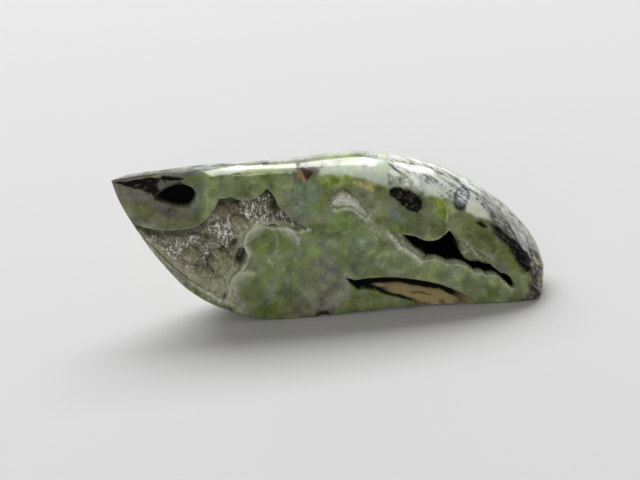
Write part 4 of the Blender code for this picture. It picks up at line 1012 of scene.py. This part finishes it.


# The crystals that line the two open hollows at the left and in the middle, each one crust.
# Depths are behind the face: from shallow at the lower rim to deep under the upper lip, clear of
# the hollow's floor, by a power of the share of the way between the rims.
# Clusters sparkle: x, z, radius. Smooth lumps: x, z, radius, height. Gaps, painted dark as shade:
# x, z, radius, depth.
# Shade bands: tone and outline of painted shade under the upper lips. Crystals: size, height, seed.
# Foot and crevice: tones at the lower rim and between the crystals; the left crust's darker crevice
# tone is painted shade.
crusts = {
    "left": {
        "step": 0.052, "shallow": 0.14, "clear": 0.3, "bend": 0.8,
        "lowRim": [(-2.7, 9.6), (-4.3, 9.8), (-6.7, 10.4), (-9.1, 10.2), (-9.3, 7.3), (-10.2, 5.7),
                   (-11.4, 3.7), (-11.7, 2.6), (-12.9, 3.2), (-15.3, 4.9), (-17.9, 7.4), (-20.5, 10.7)],
        "highRim": [(-20.9, 11.2), (-17.9, 10.5), (-14.9, 10.6), (-13.3, 11.6), (-12.1, 13.4),
                    (-10.9, 13.5), (-9.0, 13.0), (-7.1, 14.1), (-6.0, 12.2), (-2.7, 9.6)],
        "clusters": [(-7.9, 10.6, 0.9), (-5.9, 10.4, 0.6), (-10.6, 9.4, 0.6), (-8.5, 11.3, 1.9),
                     (-9.5, 12.1, 0.93), (-7.6, 11.8, 1.03), (-11.7, 9.7, 1.14), (-12.2, 10.1, 0.62),
                     (-11.3, 8.8, 0.62), (-14.7, 8.8, 0.83), (-14.1, 8.2, 0.52), (-17.0, 7.9, 0.83),
                     (-16.2, 7.6, 0.62), (-10.8, 6.9, 0.62), (-11.2, 7.5, 0.52), (-5.2, 10.6, 1.15),
                     (-4.1, 10.1, 0.9), (-6.5, 11.2, 1.1), (-18.3, 8.6, 0.52), (-12.8, 4.0, 0.52),
                     (-13.7, 5.8, 0.41), (-13.2, 3.2, 0.52), (-19.2, 9.6, 0.52)],
        "smooth": [(-12.1, 6.6, 1.3, 0.8), (-13.8, 5.6, 0.8, 0.5), (-15.0, 7.4, 0.95, 0.6),
                   (-10.0, 10.5, 0.85, 0.5), (-12.6, 4.2, 0.85, 0.35)],
        "gaps": [(-9.7, 6.3, 0.7, 1.0), (-9.5, 7.2, 0.5, 0.9), (-9.3, 5.7, 0.41, 0.9),
                 (-10.0, 6.9, 0.52, 0.8), (-10.6, 8.2, 0.47, 0.8), (-11.5, 12.7, 0.62, 0.5),
                 (-10.3, 12.4, 0.62, 0.5), (-7.0, 13.3, 0.41, 0.4), (-6.1, 11.7, 0.52, 0.5),
                 (-11.6, 2.6, 0.47, 0.7), (-13.3, 8.9, 0.52, 0.4), (-13.9, 4.6, 0.31, 0.4),
                 (-14.6, 5.9, 0.31, 0.4), (-11.8, 7.9, 0.31, 0.4), (-13.2, 7.3, 0.26, 0.3),
                 (-15.9, 6.6, 0.31, 0.3)],
        "bands": [((84, 75, 56), [(-20.9, 11.2), (-17.9, 10.6), (-14.9, 10.7), (-13.4, 11.7),
                                  (-13.2, 10.4), (-14.0, 9.3), (-16.7, 9.3), (-19.1, 9.7)]),
                  ((118, 110, 84), [(-13.1, 11.4), (-12.3, 12.6), (-10.6, 12.7), (-10.4, 11.5),
                                    (-11.7, 10.7)]),
                  ((34, 28, 14), [(-12.9, 12.2), (-12.1, 13.5), (-10.9, 13.6), (-8.8, 13.1), (-8.9, 12.7),
                                  (-9.8, 12.8), (-10.7, 12.5), (-11.6, 12.4)]),
                  ((66, 58, 38), [(-7.2, 14.3), (-6.2, 12.6), (-5.5, 11.6), (-5.9, 11.8), (-6.6, 12.6),
                                  (-7.0, 13.3)])],
        "crystals": [(0.29, 0.2, 301), (0.17, 0.12, 311)],
        "foot": (190, 188, 162), "crevice": (112, 108, 84)},
    "middle": {
        "step": 0.045, "shallow": 0.03, "clear": 0.25, "bend": 1.6,
        "lowRim": [(-0.6, 12.0), (0.0, 11.5), (1.8, 11.4), (3.1, 10.3), (3.5, 10.4)],
        "highRim": [(-0.6, 12.3), (0.7, 13.4), (2.4, 12.3), (3.5, 10.8)],
        "clusters": [(0.0, 12.2, 0.6), (0.8, 12.5, 0.6), (1.5, 12.1, 0.6), (2.2, 11.6, 0.5),
                     (2.8, 11.0, 0.45), (3.2, 10.6, 0.35)],
        "smooth": [], "gaps": [(1.0, 13.2, 0.3, 0.3), (2.5, 12.2, 0.25, 0.3)],
        "bands": [((96, 86, 66), [(0.8, 13.5), (2.4, 12.6), (3.4, 11.2), (3.0, 11.6), (1.9, 12.6),
                                  (0.8, 13.2)])],
        "crystals": [(0.2, 0.14, 321), (0.13, 0.09, 331)],
        "foot": (196, 204, 178), "crevice": (228, 227, 210)},
}
# gap is painted shade in the crust's gaps and creases, and lip is painted shade under the upper lip
crustTones = {"ground": (160, 157, 130), "shade": (102, 99, 76), "crystal": (255, 255, 250),
              "smooth": (142, 145, 110), "gap": (44, 41, 24), "lip": (60, 54, 38)}
# the shell: how thick, how far it reaches under the rim and how far behind the polished face it
# stays; how far and over what size its floor swells and the places of its lumps stray
crustBuild = {"thickness": 0.25, "tuck": 0.17, "behind": 0.05, "swell": (0.12, 0.8), "stray": (0.35, 0.6)}
# single crystals: how far from the middle of their cell, the height of the lowest as a share,
# how much the tops lean, how steep the sides are, and how narrow from one to the next
crystalShape = {"jitter": 0.8, "lowest": 0.25, "lean": 1.4, "steep": 1.7, "narrow": (0.5, 0.9)}


def crystalField(x, z, size, height, seed):
    # pointed crystals, one to a cell: the tallest of the nine cells around wins. Each is
    # tall + lean - steep * max(|u|, |v| * narrow) in a frame turned its own way
    jitter, lowest = crystalShape["jitter"], crystalShape["lowest"]
    narrow, change = crystalShape["narrow"]
    cellX, cellZ = np.floor(x / size).astype(np.int64), np.floor(z / size).astype(np.int64)
    best, shade = np.full(x.shape, -np.inf), np.zeros(x.shape)
    for stepX in (-1, 0, 1):
        for stepZ in (-1, 0, 1):
            cell = np.stack([cellX + stepX, cellZ + stepZ], axis=-1)
            chance = [hashed(cell, seed + k) for k in range(7)]
            offX = x - (cell[..., 0] + 0.5 + jitter * (chance[0] - 0.5)) * size
            offZ = z - (cell[..., 1] + 0.5 + jitter * (chance[1] - 0.5)) * size
            turn = chance[2] * np.pi
            u = offX * np.cos(turn) + offZ * np.sin(turn)
            v = offZ * np.cos(turn) - offX * np.sin(turn)
            tall = height * (lowest + (1 - lowest) * chance[3])
            lean = crystalShape["lean"] * ((chance[4] - 0.5) * offX + (chance[5] - 0.5) * offZ)
            side = np.maximum(np.abs(u), np.abs(v) * (narrow + change * chance[2]))
            top = tall + lean - crystalShape["steep"] * side
            better = top > best
            best, shade = np.where(better, top, best), np.where(better, chance[6], shade)
    return best, shade


def crustLumps(crust, x, z, flat, depth):
    # clusters and smooth lumps stand out as parts of balls, and gaps sink in as bells; they are
    # looked up at straying places, which makes them irregular. Returns the depth, and how much
    # each point sparkles, is bare and lies in a gap or crease that is painted dark as shade
    stray, size = crustBuild["stray"]
    x = x + stray * cloud(flat, size, 3, 351)
    z = z + stray * cloud(flat, size, 3, 361)
    sparkly = 0.75 * smoothStep(-0.15, 0.25, cloud(flat, 0.45, 3, 401))
    for mx, mz, radius in crust["clusters"]:
        away = np.hypot(x - mx, z - mz) / radius
        sparkly = np.maximum(sparkly, smoothStep(1.35, 0.7, away))
        depth = depth - 0.3 * radius * np.sqrt(np.clip(1 - away**2, 0, 1))
    bare, hole = np.zeros(x.shape), np.zeros(x.shape)
    for mx, mz, radius, height in crust["smooth"]:
        away = np.hypot(x - mx, z - mz)
        t = np.clip(1 - (away / radius)**2, 0, 1)
        depth = depth - height * np.sqrt(t)
        bare = np.maximum(bare, smoothStep(0.0, 0.5, t) * 0.85)
        # painted shade in a crease around each lump, and crystals around that
        hole = np.maximum(hole, 0.5 * smoothStep(0.35, 0.05, np.abs(away - radius - 0.02)))
        sparkly = np.maximum(sparkly, smoothStep(0.3, 0.1, np.abs(away - radius - 0.3)))
    for mx, mz, radius, down in crust["gaps"]:
        t = np.exp(-((x - mx)**2 + (z - mz)**2) / (radius * 1.15)**2)
        depth = depth + down * t
        hole = np.maximum(hole, t * min(1, radius / 0.6))
    return depth, sparkly * (1 - bare) * (1 - hole), bare, hole


def crustSurface(name, x, z):
    # depth behind the face and colour of a crust
    crust = crusts[name]
    flat = np.stack([x, z, np.zeros(x.shape)], axis=-1)
    low, _, _ = distanceTo(x, z, crust["lowRim"], closed=False)
    high, _, _ = distanceTo(x, z, crust["highRim"], closed=False)
    share = low / np.maximum(low + high, 1e-6)
    floor = hollowDepth(name, x, z) - crust["clear"]
    depth = crust["shallow"] + (floor - crust["shallow"]) * share**crust["bend"]
    swell, size = crustBuild["swell"]
    depth = depth + swell * cloud(flat, size, 2, 341)
    depth, sparkly, bare, hole = crustLumps(crust, x, z, flat, depth)
    peaks, shade = np.zeros(x.shape), np.zeros(x.shape)
    for size, height, seed in crust["crystals"]:
        top, tone = crystalField(x, z, size, height, seed)
        shade = np.where(top > peaks, tone, shade)
        peaks = np.maximum(peaks, top)
    tallest = max(height for _, height, _ in crust["crystals"])
    covers = []
    # the shade bands are painted shade under the upper lips; they also damp the sparkle
    for _, outline in crust["bands"]:
        gap, _, _ = distanceTo(x, z, outline)
        covers.append(smoothStep(-0.25, 0.1, gap + 0.3 * cloud(flat, 0.7, 2, 391)) * 0.9)
        sparkly = sparkly * (1 - 0.8 * covers[-1])
    peaks = peaks * (0.45 + 0.55 * sparkly) * (1 - 0.75 * bare) * (1 - 0.6 * hole)
    depth = np.minimum(depth, floor + 0.1) - peaks
    lift = peaks / tallest
    colour = plain(crustTones["ground"], x.shape)
    colour = layOver(colour, crustTones["shade"], smoothStep(-0.1, 0.3, cloud(flat, 0.7, 4, 381)) * 0.9)
    for (tone, _), cover in zip(crust["bands"], covers):
        colour = layOver(colour, tone, cover)
    colour = layOver(colour, crustTones["smooth"], bare)
    # each crystal's random brightness, and its rise from the crevice tone at the foot to white at the tip,
    # are partly the crystals' own pale colour and partly painted glints and painted shade
    colour = colour * (0.72 + 0.56 * shade + 0.3 * smoothNoise(flat, 0.15, 481))[..., None]
    glintShare = smoothStep(0.05, 0.36, lift) * (0.5 + 0.5 * smoothStep(0.05, 0.45, shade))
    bright = layOver(plain(crust["crevice"], x.shape), crustTones["crystal"], glintShare)
    colour = colour + (bright - colour) * sparkly[..., None]
    # painted shade under the upper lip
    colour = layOver(colour, crustTones["lip"], smoothStep(0.8, 0.97, share) * 0.75)
    colour = layOver(colour, crust["foot"], smoothStep(0.3, 0.05, share) * 0.7)
    # painted shade in the gaps and the creases around lumps
    colour = layOver(colour, crustTones["gap"], smoothStep(0.35, 0.9, hole) * 0.9)
    return depth, colour


def bodyFront(x, z):
    # y of the polished front before its hollows: straight blends between the places of a table
    stepX, stepZ = 0.25, 0.1
    columns, rows = np.arange(-22.0, 20.01, stepX), np.arange(0.0, 16.5, stepZ)
    loops = sections(columns)[:, :sum(stoneBody["ringSteps"][:3])]
    table = np.stack([np.interp(rows, loop[:, 1], loop[:, 0]) for loop in loops])
    i = np.clip((x - columns[0]) / stepX, 0, len(columns) - 1.001)
    j = np.clip(z / stepZ, 0, len(rows) - 1.001)
    i0, j0 = i.astype(int), j.astype(int)
    s, t = i - i0, j - j0
    return ((table[i0, j0] * (1 - s) + table[i0 + 1, j0] * s) * (1 - t)
            + (table[i0, j0 + 1] * (1 - s) + table[i0 + 1, j0 + 1] * s) * t)


def crustShell(name):
    # a closed shell: the crystal side, a plain side behind it, and a wall around the border
    step, margin = crusts[name]["step"], 0.25
    rim = scallops(hollows[name]["rim"], rimStep)
    low, high = rim.min(axis=0) - margin, rim.max(axis=0) + margin
    x, z = np.meshgrid(np.arange(low[0], high[0], step), np.arange(low[1], high[1], step), indexing="ij")
    gap, _, _ = distanceTo(x, z, rim)
    kept = gap > -crustBuild["tuck"]
    quad = kept[:-1, :-1] & kept[1:, :-1] & kept[1:, 1:] & kept[:-1, 1:]
    used = np.zeros(x.shape, bool)
    for i, j in ((0, 0), (1, 0), (1, 1), (0, 1)):
        used[i:i + quad.shape[0], j:j + quad.shape[1]] |= quad
    number = np.cumsum(used.ravel()).reshape(used.shape) - 1
    front = np.stack([number[:-1, :-1], number[1:, :-1], number[1:, 1:], number[:-1, 1:]], axis=-1)[quad]
    depth, colour = crustSurface(name, x[used], z[used])
    y = np.maximum(faceY(z[used]) + depth, bodyFront(x[used], z[used]) + crustBuild["behind"])
    near = np.stack([x[used], y, z[used]], axis=-1)
    far = near + np.array([0, crustBuild["thickness"], 0])
    count = len(near)
    starts, ends = front.ravel(), np.roll(front, -1, axis=1).ravel()
    single = ~np.isin(starts * count + ends, ends * count + starts)
    wall = np.stack([ends, starts, starts + count, ends + count], axis=-1)[single]
    faces = np.concatenate([front, front[:, ::-1] + count, wall])
    return np.concatenate([near, far]), faces, np.concatenate([colour, colour])


# The back and the underside are guessed: pale green and marble with grey and black chert,
# round spherule sections and veins. Noise sizes are cells per metre, and a pair after one says
# from which value of the noise to which the tone comes in.
backPaint = {
    "ground": (152, 160, 122),
    # marble, green and grey patches: tone, noise size and pair, strength
    "patches": [((208, 213, 204), 230.0, (0.48, 0.64), 1.0), ((112, 126, 76), 350.0, (0.53, 0.62), 0.8),
                ((124, 124, 116), 520.0, (0.56, 0.64), 0.7)],
    # spherules: cells per metre, their middle, then distances and tones outwards
    "ballSize": 170.0, "ballCore": (90, 106, 42), "ballEdge": 0.45, "ballPlaces": (140.0, (0.38, 0.42)),
    "ball": [(0.05, 0.3, (112, 128, 68)), (0.28, 0.4, (146, 155, 120)), (0.36, 0.44, (184, 192, 162))],
    "wander": 0.0011, "wanderSize": 420.0,
    "vein": (196, 198, 180), "veinSize": 210.0, "veinWidth": (0.006, 0.003),
    "veinPlaces": (160.0, (0.5, 0.56)),
    # black chert, with more of it towards the tip and the nose, whose pairs are x in metres
    "chert": (40, 40, 35), "chertPlaces": (300.0, (0.6, 0.64)), "chertEnds": 0.16,
    "tip": (-0.013, -0.017), "nose": (0.016, 0.019),
}


def ramp(finish, value, low, high):
    # a smooth step from low to high
    return finish.add("ShaderNodeMapRange", {"interpolation_type": "SMOOTHSTEP"},
                      {"Value": value, "From Min": low, "From Max": high})


def blend(finish, under, over, share):
    # one colour over another by a share; plain colours are as they look, 0 to 255
    under, over = [tone if isinstance(tone, Wire) else (*linear(*tone), 1) for tone in (under, over)]
    return finish.add("ShaderNodeMix", {"data_type": "RGBA"}, {0: share, 6: under, 7: over}, 2)


def backColour(finish, place, x):
    # patches, spherules, veins and chert, each laid over the ones before
    tones = backPaint

    def noise(size, detail=4.0, output=0):
        sockets = {"Vector": place, "Scale": size, "Detail": detail}
        return finish.add("ShaderNodeTexNoise", {}, sockets, output)

    colour = tones["ground"]
    for tone, size, pair, strength in tones["patches"]:
        colour = blend(finish, colour, tone, ramp(finish, noise(size), *pair) * strength)
    shifted = finish.add("ShaderNodeVectorMath", {"operation": "MULTIPLY_ADD"},
                         {0: noise(tones["wanderSize"], 3.0, 1), 1: [tones["wander"]] * 3, 2: place})
    away = finish.add("ShaderNodeTexVoronoi", {},
                      {"Vector": shifted, "Scale": tones["ballSize"], "Randomness": 0.8})
    ball = tones["ballCore"]
    for low, high, tone in tones["ball"]:
        ball = blend(finish, ball, tone, ramp(finish, away, low, high))
    size, pair = tones["ballPlaces"]
    inBall = ramp(finish, away, tones["ballEdge"] + 0.01, tones["ballEdge"] - 0.01)
    colour = blend(finish, colour, ball, inBall * ramp(finish, noise(size, 2.0), *pair))
    size, pair = tones["veinPlaces"]
    thin = finish.add("ShaderNodeMath", {"operation": "ABSOLUTE"}, {0: noise(tones["veinSize"]) - 0.5})
    vein = ramp(finish, thin, *tones["veinWidth"]) * ramp(finish, noise(size), *pair)
    colour = blend(finish, colour, tones["vein"], vein)
    size, pair = tones["chertPlaces"]
    ends = ramp(finish, x, *tones["tip"]) + ramp(finish, x, *tones["nose"])
    chert = ramp(finish, noise(size, 6.0) + tones["chertEnds"] * ends, *pair)
    return blend(finish, colour, tones["chert"], chert)


# Polished stone: the front's colours are the mesh's own, the back's come from noise. Grain is in
# cells per metre. Mottle and roughness are a first value and how much it changes, bump is a
# strength and a height in metres, and the painted black shade in the holes sets in between two
# depths in millimetres.
stoneFinish = {"grain": 3600.0, "mottle": (0.82, 0.36), "roughness": (0.75, 0.6), "coat": 0.42,
               "bump": (0.6, 0.0001), "blackFrom": (0.1, 0.9),
               "black": {"Base Color": (0.003, 0.003, 0.002, 1), "Roughness": 1.0,
                         "Specular IOR Level": 0.1}}


def polishedFinish():
    # where the gloss fades the surface is rough, dull and grainy
    finish = Finish("polishedStone", {"Coat Roughness": 0.14, "IOR": 1.5})
    place = finish.add("ShaderNodeTexCoord", {}, {}, "Object")
    split = [finish.add("ShaderNodeSeparateXYZ", {}, {"Vector": place}, axis) for axis in range(3)]
    gloss = finish.attribute("gloss")
    grain = finish.add("ShaderNodeTexNoise", {},
                       {"Vector": place, "Scale": stoneFinish["grain"], "Detail": 3.0})
    strength, height = stoneFinish["bump"]
    bump = finish.add("ShaderNodeBump", {},
                      {"Strength": (1 - gloss) * strength, "Distance": height, "Height": grain})
    # behind the face the open holes are painted black as shade: depth = y - face at - lean * z, in
    # millimetres
    sunk = (split[1] - split[2] * face["lean"]) * (1 / mm) - face["at"]
    hole = ramp(finish, sunk, *stoneFinish["blackFrom"]) * finish.attribute("hole")
    finish.blacken(hole + finish.attribute("murk"), stoneFinish["black"])
    whole = blend(finish, backColour(finish, place, split[0]), finish.attribute("paint", "Color"),
                  finish.attribute("facing"))
    least, change = stoneFinish["mottle"]
    mottled = finish.add("ShaderNodeVectorMath", {"operation": "SCALE"},
                         {0: whole, "Scale": least + change * grain})
    rough, smoother = stoneFinish["roughness"]
    finish.drive(BaseColor=mottled, Roughness=rough - smoother * gloss,
                 CoatWeight=stoneFinish["coat"] * gloss, Normal=bump)
    return finish


def withEnds(values, tip, nose):
    # one row for every point of the grid, then those of the two end points
    return np.concatenate([values.reshape(-1, *values.shape[2:]), [tip, nose]])


points, normals, depth, inside = carvedStone()
columns, around = points.shape[:2]
print("stone grid:", columns, "by", around)
paint, facing, gloss, hole, murk = stonePaint(points, normals, depth, inside)
print("stone painted")

allPoints = withEnds(points, stoneBody["tip"], stoneBody["nose"])
stone = gridMesh("polishedStone", allPoints, tubeFaces(columns, around, depth.ravel()), polishedFinish())
giveNumbers(stone, paint=withEnds(paint, paint[0].mean(axis=0), paint[-1].mean(axis=0)),
            facing=withEnds(facing, 1, 1), gloss=withEnds(gloss, 1, 1), hole=withEnds(hole, 0, 0),
            murk=withEnds(murk, 0, 0))
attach(stone, "root")
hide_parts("stone")

crystal = Finish("crystalCrust", {"Roughness": 0.3, "IOR": 1.53})
crystal.drive(BaseColor=crystal.attribute("paint", "Color"))
for name, node, title in (("left", "left_crystals", "leftDruse"),
                          ("middle", "middle_crystals", "middleDruse")):
    crustPoints, crustFaces, crustPaint = crustShell(name)
    druse = gridMesh(title, crustPoints, crustFaces, crystal, smooth=False)
    giveNumbers(druse, paint=crustPaint)
    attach(druse, "root")
    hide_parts(node)
    print(title, "has", len(crustFaces), "faces")


# Floor, lights and camera
stage = {
    "floorSize": 3000, "floorShade": (0.625, 0.631, 0.637),
    "skyShade": (1.0, 0.965, 0.91), "skyStrength": 0.27,
    "softbox": {"at": (-60, 560, 760), "aim": (0, 0, 0), "size": (1300, 460), "watts": 11.9},
    "backdrop": {"at": (250, 1500, 300), "aim": (0, 0, 10), "size": (3000, 640), "watts": 6.0},
    "fill": {"at": (-420, -930, 300), "aim": (0, 0, 5), "size": (800, 380), "watts": 2.2},
    "cameraAt": (-39.25, -226.02, 113.11), "lens": 135, "sensor": 36, "clip": (0.01, 10),
}


def makeStage():
    # a wide pale floor, an even sky, three soft lamps aimed at the stone, and the camera
    size = stage["floorSize"] / 2
    corners = np.array([(-size, -size, 0), (size, -size, 0), (size, size, 0), (-size, size, 0)], float)
    floorFinish = Finish("paleFloor", {"Base Color": (*stage["floorShade"], 1), "Roughness": 0.8,
                                       "Specular IOR Level": 0.2})
    floor = gridMesh("floor", corners, np.array([[0, 1, 2, 3]]), floorFinish)
    world = bpy.context.scene.world or bpy.data.worlds.new("studio")
    bpy.context.scene.world = world
    world.use_nodes = True
    background = world.node_tree.nodes["Background"]
    background.inputs["Color"].default_value = (*stage["skyShade"], 1)
    background.inputs["Strength"].default_value = stage["skyStrength"]
    for name in ("softbox", "backdrop", "fill"):
        box = stage[name]
        lamp = bpy.data.lights.new(name, "AREA")
        lamp.shape = "RECTANGLE"
        lamp.size, lamp.size_y = box["size"][0] * mm, box["size"][1] * mm
        lamp.energy = box["watts"]
        holder = bpy.data.objects.new(name, lamp)
        bpy.context.scene.collection.objects.link(holder)
        at, aim = np.array(box["at"]) * mm, np.array(box["aim"]) * mm
        back = (at - aim) / np.linalg.norm(at - aim)
        holder.location = at
        holder.rotation_euler = (math.acos(back[2]), 0, math.atan2(back[1], back[0]) + math.pi / 2)
    lens = bpy.data.cameras.new("camera")
    lens.lens, lens.sensor_width = stage["lens"], stage["sensor"]
    lens.clip_start, lens.clip_end = stage["clip"]
    camera = bpy.data.objects.new("camera", lens)
    bpy.context.scene.collection.objects.link(camera)
    camera.location = np.array(stage["cameraAt"]) * mm
    camera.rotation_euler = (math.pi / 2 - markPlane["tilt"], 0, markPlane["turn"])
    bpy.context.scene.camera = camera
    bpy.context.scene.view_settings.view_transform = "Standard"


makeStage()
print("floor, lights and camera placed")
